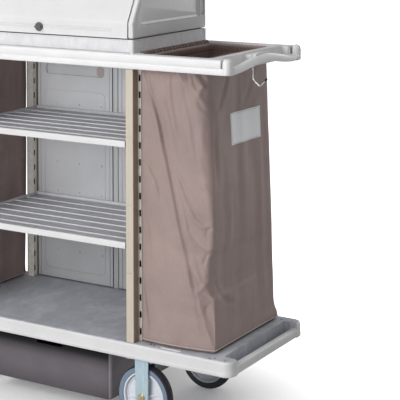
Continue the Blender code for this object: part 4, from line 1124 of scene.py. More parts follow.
for tag, (x, y, owner) in WHEELS.items():
    c = (x, y, WR)
    # tyre: flat coloured side wall, dark crowned tread
    half = [(RIN + 0.0002, 0.0150), (RIN + 0.0010, 0.0158), (0.0850, 0.0162),
            (0.0868, 0.0160), (0.0880, 0.0152), (0.0896, 0.0128), (0.0908, 0.0096),
            (0.0917, 0.0056), (0.0920, 0.0020)]
    prof = ([(r, -h) for r, h in half] + [(r, h) for r, h in half[::-1]])
    bm, fs = lathe(prof, c, 'Y', 72)
    n = len(half)
    for k, f in fs:
        side_wall = k in (0, 1, 2) or k in (2 * n - 2, 2 * n - 3, 2 * n - 4)
        # inward-facing side walls take the darker copy: painted shade
        inward = (f.calc_center_median().y - c[1]) * c[1] < 0
        f.material_index = (2 if inward else 0) if side_wall else 1
    put("caster_tyre_" + tag, bm, [TYRE_SIDE, TREAD, TYRE_SIDE_SHADED], "wheel_" + tag, 40,
        ("tyre_" + tag,))

    # hub: rim ring, recess, web disc, boss
    g = RIN - 0.0002
    h2 = [(0.0066, 0.0150), (0.0135, 0.0150), (0.0150, 0.0138), (0.0162, 0.0080),
          (0.0180, 0.0062), (0.0260, 0.0056), (0.0560, 0.0056), (0.0584, 0.0060),
          (0.0596, 0.0078), (0.0606, 0.0082), (0.0622, 0.0082), (0.0630, 0.0072),
          (0.0634, 0.0052), (0.0648, 0.0050), (0.0654, 0.0074), (0.0662, 0.0136),
          (0.0672, 0.0148), (0.0700, 0.0152), (0.0714, 0.0146), (g, 0.0130)]
    prof = [(r, -h) for r, h in h2] + [(r, h) for r, h in h2[::-1]]
    bm, fs = lathe(prof, c, 'Y', 72)
    put("caster_hub_" + tag, bm, HUB, "wheel_" + tag, 40, ("hub_" + tag,))
    bm = bmesh.new()
    for q in (-1, 1):
        for k in range(6):
            a = math.radians(60 * k + 12)
            ca, sa = math.cos(a), math.sin(a)
            for r0, r1, h0, h1, w0, w1 in ((0.0150, 0.0595, 0.0125, 0.0078, 0.0032, 0.0022),):
                vs = []
                for r, h, w in ((r0, h0, w0), (r1, h1, w1)):
                    for yy, ww in ((0.0050, w), (h - 0.0008, w * 0.8), (h, w * 0.45)):
                        for e in (-1, 1):
                            vs.append(bm.verts.new((x + r * ca - e * ww * sa, y + q * yy,
                                                    WR + r * sa + e * ww * ca)))
                a0, b0 = vs[:6], vs[6:]
                o = [0, 2, 4, 5, 3, 1]
                for i in range(6):
                    j = (i + 1) % 6
                    bm.faces.new((a0[o[i]], a0[o[j]], b0[o[j]], b0[o[i]]))
                bm.faces.new([a0[i] for i in o])
                bm.faces.new([b0[i] for i in o])
    put("caster_spokes_" + tag, bm, HUB, "wheel_" + tag, 40, ())

    # axle: bolt head, shank, nut with a thread stub, two washers
    f = from_cad("axle_bolt_" + tag, BOLT, 0.0, 0, name="axle_core_" + tag)
    front = -1 if y < 0 else 1
    yo = 0.0240
    bm = bmesh.new()
    prof = [(0.0064, y - yo - 0.0017), (0.0116, y - yo - 0.0017),
            (0.0122, y - yo - 0.0011), (0.0122, y - yo - 0.0002), (0.0064, y - yo - 0.0002)]
    lathe(prof, (x, 0, WR), 'Y', 36, bm=bm)
    lathe([(r, 2 * y - h) for r, h in prof], (x, 0, WR), 'Y', 36, bm=bm)
    hex_prism(bm, x, y - yo - 0.0085, y - yo - 0.0017, WR, 0.0109, 0.35, out=-1)
    hex_prism(bm, x, y + yo + 0.0017, y + yo + 0.0075, WR, 0.0109, 0.10, out=1)
    e = front
    yb = y + e * (yo + 0.0020)
    stub = [(0, e * 0.0105), (0.0040, e * 0.0105), (0.0046, e * 0.0098)]
    for k in range(7):
        stub += [(0.0050, e * (0.0092 - 0.0012 * k)), (0.0044, e * (0.0086 - 0.0012 * k))]
    stub += [(0.0050, 0), (0, 0)]
    lathe(stub, (x, yb, WR), 'Y', 20, bm=bm)
    put("axle_nuts_" + tag, bm, BOLT, owner, 35, ())
    bpy.data.objects["axle_core_" + tag].hide_render = False

for tag in WHEELS:
    from_cad("fork_" + tag, ZINC, 0.0008, 3, angle=50)
for end, t in ENDS:
    from_cad("caster_plate_%s_left" % end, ZINC, 0.0007, 2, angle=50)
    from_cad("brake_pedal_%s_left" % end, PEDAL, 0.0009, 3, angle=40)
    y = t * 0.181
    px, pz = -0.4535, 0.1975
    bm = bmesh.new()                       # grip ribs across the treadle
    for k in range(5):
        u = 0.0120 + 0.0062 * k
        xx = px - u
        zz = pz + 0.0052 - 0.0002 * k - max(0.0, u - 0.020) * 0.36 - 0.0004
        add_prism(bm, [(xx - 0.0011, zz - 0.0016), (xx + 0.0011, zz - 0.0016),
                       (xx + 0.0006, zz + 0.0007), (xx - 0.0006, zz + 0.0007)],
                  'Y', y - 0.0095, y + 0.0095)
    put("pedal_ribs_%s_left" % end, bm, PEDAL, "pedal_" + end, 30, ())
bm = bmesh.new()                           # heads of the bolts that hold the casters
for cx in (-0.377, 0.3764):
    for t in (-1, 1):
        for dx in (-0.0405, 0.0405):
            for dy in (-0.0300, 0.0300):
                px, py, zt = cx + dx, t * 0.181 + dy, 0.2077
                rings = []
                for z, r in ((zt, 0.0062), (zt - 0.0030, 0.0062), (zt - 0.0038, 0.0054)):
                    rings.append([bm.verts.new((px + r * math.cos(math.pi / 3 * k),
                                                py + r * math.sin(math.pi / 3 * k), z))
                                  for k in range(6)])
                for a, b in zip(rings[:-1], rings[1:]):
                    for k in range(6):
                        l = (k + 1) % 6
                        bm.faces.new((a[k], a[l], b[l], b[k]))
                bm.faces.new(rings[0])
                bm.faces.new(rings[-1])
put("caster_mount_bolts", bm, STEEL, "cart", 30, ())

# =========================================================== box under deck
ob = from_cad("under_box", [BOXGREY, BOXSIDE], 0.0015, 3, angle=50)
# side faces take the lighter box copy: painted light on the box sides
for p in ob.data.polygons:
    if abs(p.normal.x) > 0.6:
        p.material_index = 1
for side in ("left", "right"):
    from_cad("box_runner_" + side, ZINC, 0.0005, 2, angle=50)

# ==================================================================== hooks
for side, s in SIDES:
    zt = bar_centre(-0.064)[0] - bar_centre(-0.064)[1] - 0.0010
    x, y = s * 0.685, -0.064
    pts = [(x, y, zt - 0.0002), (x, y, zt - 0.010), (x, y, zt - 0.025), (x, y, 1.0560)]
    pts += [(x, y, 1.0535), (x + s * 0.0006, y, 1.0510), (x + s * 0.0020, y, 1.0487),
            (x + s * 0.0040, y, 1.0468), (x + s * 0.0120, y, 1.0401)]
    pts += [(x + s * 0.0205, y, 1.0330), (x + s * 0.0222, y, 1.0318),
            (x + s * 0.0236, y, 1.0314), (x + s * 0.0250, y, 1.0320),
            (x + s * 0.0266, y, 1.0336), (x + s * 0.0350, y, 1.0425),
            (x + s * 0.0445, y, 1.0526)]
    put("bag_hook_" + side, sweep(pts, disc_ring(0.0021, 14), up=(0, 1, 0)), STEEL,
        "hook_" + side, 60, ("utility_hook_" + side,))
    tip = [(x + s * 0.0405, y, 1.0484), (x + s * 0.0452, y, 1.0534),
           (x + s * 0.0468, y, 1.0551), (x + s * 0.0474, y, 1.0557)]
    rr = [0.0029, 0.0030, 0.0026, 0.0013]
    put("hook_tip_" + side, sweep(tip, lambda i: disc_ring(rr[i], 14), up=(0, 1, 0)),
        RUBBER, "hook_" + side, 50, ())
    bm, _ = lathe([(0, zt - 0.0003), (0.0044, zt - 0.0003), (0.0050, zt - 0.0010),
                   (0.0050, zt - 0.0028), (0.0036, zt - 0.0040), (0.0023, zt - 0.0044),
                   (0, zt - 0.0044)], (x, y, 0), 'Z', 24)
    put("hook_ferrule_" + side, bm, STEEL, "hook_" + side, 40, ())

# ===================================================================== bags
BZ0, BZ1 = 0.2610, 1.1090
FOOT = dict(xl=0.3765, xr=0.6205, fl=-0.1985, fr=-0.1850, rr=0.2045, rl=0.1910)
RIM = dict(xl=0.3822, xr=0.5918, fl=-0.1950, fr=-0.1950, rr=0.2008, rl=0.2008)
CORNER = [(0.262, 0.002), (0.300, 0.001), (0.36, 0.002), (0.412, 0.001), (0.424, -0.010),
          (0.444, -0.014), (0.532, -0.006), (0.565, 0.008), (0.614, 0.013), (0.650, 0.013),
          (0.737, 0.012), (0.820, 0.007), (0.930, 0.002), (0.990, 0.005), (1.045, 0.006), (1.075, 0.002),
          (1.12, 0)]
ROUND = [(0.262, 0.0022), (0.272, 0.0030), (0.300, 0.006), (0.400, 0.013), (0.470, 0.018),
         (0.520, 0.012), (0.620, 0.009), (0.700, 0.018), (0.800, 0.030), (0.870, 0.041),
         (0.940, 0.046), (1.000, 0.041), (1.050, 0.032), (1.095, 0.018), (1.12, 0.013)]
CREASES = [  # front panel: polyline in X-Z, top and bottom width, step, ridge
    ([(.385, 1.066), (.433, .92), (.466, .77), (.498, .634), (.538, .497), (.56, .39),
      (.600, .272)], 0.0060, 0.0130, 0.0072, 0.0030),
    ([(.396, 1.066), (.42, .97), (.438, .898), (.452, .80)], 0.0060, 0.0070, 0.0034, 0.0008),
    ([(.380, .801), (.402, .781), (.423, .747), (.436, .70)], 0.0040, 0.0060, 0.0036, 0.0016),
    ([(.380, .670), (.394, .624), (.404, .572), (.409, .52)], 0.0050, 0.0070, 0.0028, 0.0010),
    ([(.380, .445), (.390, .383), (.399, .325), (.403, .285)], 0.0022, 0.0034, 0.0040, 0.0022),
    ([(.476, 1.092), (.473, 1.035), (.480, .961), (.496, .88)], 0.0070, 0.0110, 0.0032, 0.0006),
    ([(.505, 1.080), (.520, 1.000), (.540, .92), (.560, .80)], 0.0080, 0.0140, 0.0030, 0.0006),
    ([(.430, 1.085), (.446, 1.02), (.470, .93), (.50, .80)], 0.0080, 0.0120, 0.0026, 0.0006),
    ([(.500, .760), (.530, .690), (.560, .645), (.612, .612)], 0.0060, 0.0130, 0.0050, 0.0014),
    ([(.512, .690), (.540, .590), (.570, .535), (.604, .505)], 0.0060, 0.0130, 0.0046, 0.0014),
    ([(.545, .560), (.566, .500), (.584, .462), (.606, .440)], 0.0050, 0.0100, 0.0036, 0.0010),
    ([(.556, .448), (.580, .424), (.606, .404), (.632, .392)], 0.0040, 0.0060, 0.0042, 0.0018),
    ([(.574, .360), (.590, .345), (.606, .310), (.612, .285)], 0.0040, 0.0060, 0.0026, 0.0010),
]
FOLDS = [    # right panel: soft vertical flutes in Y-Z, width, depth
    ([(-.001, 1.06), (-.004, .9), (-.017, .674), (-.032, .284)], 0.022, 0.0034),
    ([(.074, .98), (.096, .652), (.100, .278)], 0.024, 0.0030),
    ([(-.113, .800), (-.113, .692), (-.104, .304)], 0.020, 0.0026),
    ([(-.054, .700), (-.054, .591), (-.074, .326)], 0.018, 0.0024),
    ([(.040, 1.07), (.052, .90), (.050, .70)], 0.018, 0.0018),
    ([(.150, .95), (.155, .60), (.160, .35)], 0.018, 0.0020),
    ([(-.150, .46), (-.130, .41), (-.095, .385), (-.050, .372)], 0.010, 0.0024),
    ([(-.060, 1.06), (-.085, 1.01), (-.120, .965)], 0.010, 0.0030),
    ([(.105, 1.07), (.075, 1.00), (.030, .955)], 0.011, 0.0024),
    ([(-.140, .92), (-.150, .84), (-.148, .74)], 0.012, 0.0026),
]
WAVES = [    # puckers round the front corner: polyline in X-Z, width, height
    ([(.545, 1.078), (.549, 1.060), (.556, 1.042), (.570, 1.026), (.590, 1.020)],
     .0060, -.0040),
    ([(.562, 1.080), (.571, 1.060), (.581, 1.047), (.586, 1.036), (.578, 1.028)],
     .0062, .0056),
    ([(.578, 1.078), (.590, 1.060), (.599, 1.044), (.602, 1.030)], .0055, -.0036),
    ([(.588, 1.032), (.577, 1.019), (.574, 1.006), (.583, .994), (.590, .978)],
     .0085, .0046),
    ([(.566, 1.000), (.576, .985), (.584, .968)], .0060, -.0026),
    ([(.600, 1.012), (.603, .996), (.606, .976)], .0060, -.0030),
    ([(.505, 1.085), (.512, 1.064), (.522, 1.046), (.536, 1.030)], .0070, .0040),
    ([(.525, 1.085), (.533, 1.064), (.543, 1.046)], .0050, -.0028),
    ([(.560, .992), (.576, .968), (.596, .946)], .0070, .0036),
    ([(.585, .925), (.580, .895), (.586, .860)], .0080, .0030),
    ([(.572, .830), (.582, .800), (.592, .770)], .0080, .0026),
    ([(.580, .755), (.596, .742), (.612, .728)], .0060, .0034),
    ([(.540, .668), (.562, .644), (.586, .628), (.612, .632)], .0070, .0048),
    ([(.612, .630), (.600, .616), (.597, .600), (.604, .584)], .0055, -.0032),
    ([(.530, .622), (.556, .594), (.580, .572), (.604, .560)], .0080, .0040),
    ([(.604, .550), (.592, .534), (.588, .519), (.596, .500)], .0060, -.0030),
    ([(.536, .530), (.556, .496), (.572, .476), (.596, .462)], .0075, .0036),
    ([(.604, .473), (.582, .446), (.570, .430), (.590, .416), (.616, .406)],
     .0060, .0034),
    ([(.612, .404), (.596, .396), (.590, .378), (.596, .358)], .0050, -.0026),
    ([(.528, .500), (.552, .450), (.574, .395), (.596, .331), (.612, .270)],
     .0105, .0046),
    ([(.545, .440), (.562, .395), (.580, .335), (.596, .280)], .0065, -.0024),
    ([(.402, 1.060), (.424, .960), (.446, .860), (.462, .770)], .0110, .0026),
    ([(.452, 1.060), (.462, .980), (.480, .900), (.505, .810), (.530, .740)],
     .0120, .0028),
    ([(.496, 1.040), (.510, .960), (.534, .880), (.566, .800)], .0120, .0026),
    ([(.396, .760), (.420, .680), (.446, .580), (.462, .480), (.470, .400)],
     .0110, .0022),
    ([(.428, .560), (.446, .450), (.470, .350), (.500, .285)], .0110, .0024),
]


def smoothstep(a, b, t):
    t = min(1.0, max(0.0, (t - a) / (b - a)))
    return t * t * (3 - 2 * t)


def sstep(a, b, t):
    t = np.clip((t - a) / (b - a), 0.0, 1.0)
    return t * t * (3 - 2 * t)


def seg_dist(P, Z, poly):
    """Signed distance of many points to a polyline, and how far along it is."""
    best = np.full(P.shape, 1e9)
    side = np.ones(P.shape)
    along = np.zeros(P.shape)
    total = sum(math.dist(a, b) for a, b in zip(poly[:-1], poly[1:]))
    run = 0.0
    for (ax, az), (bx, bz) in zip(poly[:-1], poly[1:]):
        ux, uz = bx - ax, bz - az
        L2 = ux * ux + uz * uz
        t = np.clip(((P - ax) * ux + (Z - az) * uz) / L2, 0.0, 1.0)
        qx, qz = ax + ux * t, az + uz * t
        d = np.hypot(P - qx, Z - qz)
        sd = np.where((P - qx) * (-uz) + (Z - qz) * ux >= 0, 1.0, -1.0)
        near = d < best
        best = np.where(near, d, best)
        side = np.where(near, sd, side)
        along = np.where(near, (run + math.sqrt(L2) * t) / total, along)
        run += math.sqrt(L2)
    return best * side, along


def bag_ring(z):
    """Plan outline of the sheet at height z: (point, normal, side, along)."""
    t = (z - BZ0) / (BZ1 - BZ0)
    q = {k: FOOT[k] + (RIM[k] - FOOT[k]) * t for k in FOOT}
    hang = smoothstep(1.062, 1.086, z)
    q["xl"] = 0.3742 + (RIM["xl"] - 0.3742) * hang
    q["fl"] = -0.1985 + (RIM["fl"] + 0.1985) * hang
    a = float(np.interp(z, [c[0] for c in CORNER], [c[1] for c in CORNER]))
    rc = float(np.interp(z, [c[0] for c in ROUND], [c[1] for c in ROUND]))
    xr_front = q["xr"] + a
    foot = math.exp(-((z - 0.275) / 0.022) ** 2)
    tuck = 0.0030 * (1 - smoothstep(BZ0, BZ0 + 0.0050, z))
    P = [Vector((q["xl"] + tuck, q["fl"] + tuck)),
         Vector((xr_front - tuck, q["fr"] - 0.25 * abs(a) + tuck)),
         Vector((q["xr"] + 0.008 * foot - 0.0060 * (1 - t) - tuck, q["rr"] - tuck)),
         Vector((q["xl"] + tuck, q["rl"] - tuck))]
    r = [0.0040, rc, 0.0035 + 0.0105 * smoothstep(0.270, 0.330, z), 0.010]
    out = []
    counts = (104, 100, 48, 60)
    for k in range(4):
        A, B = P[k], P[(k + 1) % 4]
        nxt = P[(k + 2) % 4]
        u = (B - A).normalized()
        n = Vector((u.y, -u.x))
        L = (B - A).length
        for i in range(counts[k]):
            f = (i + 0.5) / counts[k]
            f = f - 0.22 * math.sin(2 * math.pi * f) / (2 * math.pi)
            out.append((A + u * (r[k] + (L - r[k] - r[(k + 1) % 4]) * f), n, k, f))
        v = (nxt - B).normalized()
        n2 = Vector((v.y, -v.x))
        c = B - u * r[(k + 1) % 4] + v * r[(k + 1) % 4]
        m = 14 if k == 0 else 7
        for i in range(m):
            w = (i + 0.5) / m
            d = (n * math.cos(w * math.pi / 2) + n2 * math.sin(w * math.pi / 2)).normalized()
            out.append((c + d * r[(k + 1) % 4], d, k + w, w))
    return out


def bag_sheet(s, seed):
    from mathutils import noise as mn
    rows = 230
    zs = [BZ0 + (BZ1 - BZ0) * j / rows for j in range(rows + 1)]
    rings = [bag_ring(z) for z in zs]
    X = np.array([[p.x for p, _, _, _ in r] for r in rings])
    Y = np.array([[p.y for p, _, _, _ in r] for r in rings])
    NX = np.array([[n.x for _, n, _, _ in r] for r in rings])
    NY = np.array([[n.y for _, n, _, _ in r] for r in rings])
    F = np.array([[f for _, _, _, f in r] for r in rings])
    flat = np.array([[1.0 if isinstance(k, int) else 0.0 for _, _, k, _ in r]
                     for r in rings])
    Z = np.repeat(np.array(zs)[:, None], X.shape[1], axis=1)
    wf, wr = np.maximum(0, -NY) ** 1.5, np.maximum(0, NX) ** 2
    wb, wl = np.maximum(0, NY) ** 2, np.maximum(0, -NX) ** 2
    env = sstep(BZ0 + 0.004, BZ0 + 0.040, Z) * (1 - sstep(1.070, BZ1, Z))
    env_lo = sstep(BZ0 + 0.005, BZ0 + 0.018, Z) * (1 - sstep(1.086, BZ1, Z))
    # ---- front: stepped folds, puckers, a little bow at the foot
    g = np.zeros(X.shape)
    for poly, w0, w1, D, R in CREASES:
        sd, al = seg_dist(X, Z, poly)
        e = np.sin(np.pi * np.clip(0.05 + 0.90 * al, 0, 1)) ** 0.45
        ends = np.where((al <= 0) | (al >= 1), np.exp(-(np.abs(sd) / 0.012) ** 2), 1.0)
        w = w0 + (w1 - w0) * al
        step = sstep(-0.10 * w, w, sd)
        back = sstep(w, w + 0.024, sd)
        p = -D * step * (1 - 0.62 * back)
        p += 0.30 * D * np.exp(-(sd / (1.5 * w)) ** 2) * (sd < 0)
        p += 0.30 * D * np.exp(-((sd - 0.0) / (0.6 * w)) ** 2) * (sd >= 0)
        p += R * np.exp(-((sd - 1.55 * w) / (0.50 * w)) ** 2)
        p *= np.where(sd > 0, np.exp(-np.maximum(0, sd - w) / 0.055), 1.0)
        g += p * e * ends
    for poly, w, height in WAVES:
        sd, al = seg_dist(X, Z, poly)
        e = np.sin(np.pi * np.clip(0.12 + 0.76 * al, 0, 1)) ** 0.7
        gain = 1.15 + 1.1 * sstep(0.93, 1.00, Z)
        g += gain * height * e * np.exp(-np.abs(sd / w) ** 1.7)
    g -= 0.0030 * np.sin(np.pi * np.clip((X - .38) / .22, 0, 1)) ** 2 * sstep(0.40, 0.70, Z)
    sd, al = seg_dist(X, Z, [(.552, .430), (.574, .372), (.594, .320), (.617, .258)])
    fade = 1 - sstep(0.400, 0.450, Z)
    g -= 0.0085 * fade * sstep(0.0, 0.030, sd) * (1 - sstep(0.262, 0.276, Z) * 0.0)
    D = g * wf * env_lo
    bow = 0.0115 * np.sin(np.pi * np.clip((X - .374) / .256, 0, 1)) ** 0.9
    D += bow * wf * (1 - sstep(0.34, 0.86, Z))
    # ---- right: soft vertical flutes
    g = np.zeros(X.shape)
    for poly, w, depth in FOLDS:
        sd, al = seg_dist(Y, Z, poly)
        e = np.sin(np.pi * np.clip(0.10 + 0.84 * al, 0, 1)) ** 0.6
        g -= depth * e * np.exp(-(sd / w) ** 2)
        g += 0.55 * depth * e * np.exp(-((sd - 1.8 * w) / (1.4 * w)) ** 2)
    g -= 0.0030 * np.sin(np.pi * np.clip((Y + .18) / .37, 0, 1)) ** 2
    D += g * wr * env_lo
    grid = []
    for j in range(rows + 1):
        z = zs[j]
        top = smoothstep(1.040, 1.095, z)
        row = []
        for i in range(X.shape[1]):
            x, y = X[j, i], Y[j, i]
            d = D[j, i]
            for w, ph in ((wb[j, i], 3.1), (wl[j, i], 7.7)):
                if w > 0.01:
                    c = x if ph < 5 else y
                    q = 0.0044 * mn.noise(Vector((c * 16 + ph, z * 2.4, seed)))
                    q += 0.0030 * mn.noise(Vector((c * 34 + ph, z * 6.0 + c * 9, seed + 4)))
                    q -= 0.0030 * math.sin(math.pi * F[j, i]) if flat[j, i] else 0
                    if ph > 5:
                        q = min(q, 0.0)
                    d += q * w * env[j, i]
            arc = x * 1.0 + y * 1.3
            ev = env[j, i]
            if ev > 0:
                soft = 1.0 - 0.55 * wr[j, i]
                lo = 1.0 - 0.85 * wl[j, i]
                d += 0.0016 * ev * soft * lo * mn.noise(Vector((arc * 22, z * 3.2, seed + 9)))
                d += 0.0007 * ev * soft * lo * mn.noise(Vector((arc * 55, z * 9.0, seed + 15)))
            d += 0.0011 * top * (0.35 + 0.65 * (wb[j, i] + wl[j, i])) * math.sin(
                arc * 2 * math.pi / 0.0135 + 2.0 * mn.noise(Vector((arc * 30, 0, seed))))
            row.append((s * (x + NX[j, i] * d), y + NY[j, i] * d, z))
        grid.append(row)
    return grid


def grid_mesh(grid, closed=True):
    bm = bmesh.new()
    vs = [[bm.verts.new(p) for p in row] for row in grid]
    m = len(vs[0])
    for a, b in zip(vs[:-1], vs[1:]):
        for k in range(m if closed else m - 1):
            l = (k + 1) % m
            bm.faces.new((a[k], a[l], b[l], b[k]))
    return bm, vs


def frame_loop(z, grow, s, n=None):
    """Outline at height z moved outward by grow, evenly resampled."""
    pts = [Vector((s * (p.x + q.x * grow), p.y + q.y * grow, z))
           for p, q, _, _ in bag_ring(z)]
    if n is None:
        return pts
    L = [0.0]
    m = len(pts)
    for i in range(m):
        L.append(L[-1] + (pts[(i + 1) % m] - pts[i]).length)
    out = []
    j = 0
    for k in range(n):
        want = L[-1] * k / n
        while L[j + 1] < want:
            j += 1
        f = (want - L[j]) / (L[j + 1] - L[j])
        out.append(pts[j % m].lerp(pts[(j + 1) % m], f))
    return out


for side, s in SIDES:
    seed = 2.0 if s > 0 else 31.0
    grid = bag_sheet(s, seed)
    bm, vs = grid_mesh(grid)

    def surface_point(i, z, lift):
        j = int(round((z - BZ0) / (BZ1 - BZ0) * (len(grid) - 1)))
        p, n = Vector(grid[j][i]), bag_ring(z)[i][1]
        return p + Vector((s * n.x, n.y, 0)) * lift
    # floor of the bag
    ring = vs[0]
    cx = sum(v.co.x for v in ring) / len(ring)
    cy = sum(v.co.y for v in ring) / len(ring)
    prev = ring
    for k, f in enumerate((0.97, 0.88, 0.72, 0.52, 0.30, 0.12)):
        cur = [bm.verts.new((cx + (v.co.x - cx) * f, cy + (v.co.y - cy) * f,
                             BZ0 - 0.0012 + 0.0006 * math.sin(7 * v.co.y / .2 + 3 * f)))
               for v in ring]
        for a in range(len(ring)):
            b = (a + 1) % len(ring)
            bm.faces.new((prev[a], cur[a], cur[b], prev[b]))
        prev = cur
    bm.faces.new(prev)
    bag = put("bag_body_" + side, bm, [CLOTH, CLOTH_INSIDE_LIT], "cart", 80, ("linen_bag_" + side,))
    bag.data.shade_smooth()
    # the inner face takes the lighter cloth copy: painted light inside the bag
    sol = bag.modifiers.new("cloth", 'SOLIDIFY')
    sol.thickness = 0.0009
    sol.offset = -1.0
    sol.material_offset = 1
    bake_mods(bag, None)
    bag.data.shade_smooth()

    # hem folded over the wire frame
    N = 620
    loop = frame_loop(1.1125, -0.0002, s, N)
    from mathutils import noise as mn

    def hem(i):
        ph = 2 * math.pi * i / N
        pl = math.sin(ph * 88 + 1.5 * mn.noise(Vector((math.cos(ph) * 9, math.sin(ph) * 9, s))))
        r = 0.0049 + 0.00085 * pl
        out = []
        for k in range(14):
            a = 2 * math.pi * k / 14
            out.append((r * math.cos(a) * 0.86, r * math.sin(a) * 1.05))
        return out
    put("bag_hem_" + side, sweep(loop, hem, closed=True), CLOTH, "cart", 80,
        ("bag_hoop_" + side,))

    # gathered band inside the mouth with a corded lower edge
    rows = []
    for j in range(9):
        u = j / 8
        z = 1.1120 - 0.0215 * u
        pts = frame_loop(z, -0.0042 - 0.0012 * math.sin(math.pi * u), s, N)
        row = []
        for i, p in enumerate(pts):
            ph = 2 * math.pi * i / N
            pl = math.sin(ph * 88 + 1.5 * mn.noise(Vector((math.cos(ph) * 9,
                                                        math.sin(ph) * 9, s))))
            a, b = pts[i - 1], pts[(i + 1) % N]
            t = (b - a).normalized()
            n = Vector((t.y, -t.x, 0)) * s
            row.append(p + n * 0.0021 * pl * (0.45 + 0.55 * math.sin(math.pi * u)))
        rows.append(row)
    bm, _ = grid_mesh(rows)
    band = put("bag_hem_band_" + side, bm, GATHER, "cart", 80, ())
    band.data.shade_smooth()
    sol = band.modifiers.new("cloth", 'SOLIDIFY')
    sol.thickness = 0.0006
    bake_mods(band, None)
    band.data.shade_smooth()
    put("bag_hem_cord_" + side,
        sweep(frame_loop(1.0905, -0.0048, s, 260), disc_ring(0.0015, 8), closed=True),
        BINDING, "cart", 80, ())

    # skirt of the hem drawn over the ledge beside the hood
    sec = [(0.3672, 1.1246), (0.3688, 1.1251), (0.3706, 1.1253), (0.3724, 1.1252),
           (0.3740, 1.1249), (0.3756, 1.1240), (0.3769, 1.1226), (0.3780, 1.1205),
           (0.3787, 1.1182), (0.3792, 1.1150), (0.3796, 1.1100)]
    cols = []
    for i in range(361):
        y = -0.1930 + 0.3880 * i / 360
        pl = math.sin(2 * math.pi * y / 0.0185
                      + 2.2 * mn.noise(Vector((y * 40, 3.3, s))))
        pl += 0.35 * mn.noise(Vector((y * 140, 8.1, s)))
        col = []
        for k, (px, pz) in enumerate(sec):
            a, b = sec[max(k - 1, 0)], sec[min(k + 1, len(sec) - 1)]
            t = Vector((b[0] - a[0], b[1] - a[1])).normalized()
            amp = 0.0013 + 0.0011 * min(1.0, k / 3)
            o = amp * (pl + 0.75)
            ragged = 0.0026 * mn.noise(Vector((y * 45, 1.7, s))) * max(0.0, 1 - k / 3)
            col.append((s * (px - t.y * o + ragged), y, pz + t.x * o))
        cols.append(col)
    bm, _ = grid_mesh(cols, closed=False)
    skirt = put("bag_hem_skirt_" + side, bm, GATHER, "cart", 80, ())
    skirt.data.shade_smooth()
    sol = skirt.modifiers.new("cloth", 'SOLIDIFY')
    sol.thickness = 0.0007
    bake_mods(skirt, None)
    skirt.data.shade_smooth()

    # piped seam round the foot
    put("bag_piping_" + side,
        sweep([surface_point(i, 0.2672, 0.0010) for i in range(0, len(grid[0]), 1)],
              disc_ring(0.0018, 8), closed=True),
        PIPING, "cart", 80, ())

    # blank stitched patch on the outer panel
    tree = BVHTree.FromObject(bag, bpy.context.evaluated_depsgraph_get())
    Y0, Y1, Z0, Z1 = -0.047, 0.137, 0.8425, 0.9390

    def on_bag(y, z, lift):
        hit, nrm, _, _ = tree.ray_cast(Vector((s * 0.75, y, z)), Vector((-s, 0, 0)))
        return hit + Vector((s, 0, 0)) * lift
    nx, nz = 60, 32
    rows = []
    for j in range(nz + 1):
        row = []
        for i in range(nx + 1):
            u, v = i / nx, j / nz
            edge = min(u, 1 - u, v * 0.6, (1 - v) * 0.6)
            row.append(on_bag(Y0 + (Y1 - Y0) * u, Z0 + (Z1 - Z0) * v,
                              0.0012 if edge > 0.001 else 0.0007))
        rows.append(row)
    bm, _ = grid_mesh(rows, closed=False)
    patch = put("bag_patch_" + side, bm, PATCH, "cart", 80, ())
    patch.data.shade_smooth()
    sol = patch.modifiers.new("cloth", 'SOLIDIFY')
    sol.thickness = 0.0008
    bake_mods(patch, None)
    patch.data.shade_smooth()
    bm = bmesh.new()
    ins, step = 0.0038, 0.0044
    path = []
    y, z = Y0 + ins, Z0 + ins
    for (ya, za), (yb, zb) in (((Y0 + ins, Z0 + ins), (Y1 - ins, Z0 + ins)),
                               ((Y1 - ins, Z0 + ins), (Y1 - ins, Z1 - ins)),
                               ((Y1 - ins, Z1 - ins), (Y0 + ins, Z1 - ins)),
                               ((Y0 + ins, Z1 - ins), (Y0 + ins, Z0 + ins))):
        L = math.hypot(yb - ya, zb - za)
        n = int(L / step)
        for k in range(n):
            a, b = (k + 0.18) / n, (k + 0.82) / n
            pa = on_bag(ya + (yb - ya) * a, za + (zb - za) * a, 0.0013)
            pb = on_bag(ya + (yb - ya) * b, za + (zb - za) * b, 0.0013)
            mid = (pa + pb) / 2 + Vector((s * 0.0003, 0, 0))
            sweep([pa, mid, pb], disc_ring(0.00035, 6), up=(s, 0.01, 0), bm=bm)
    put("patch_stitching_" + side, bm, THREAD, "cart", 60, ())

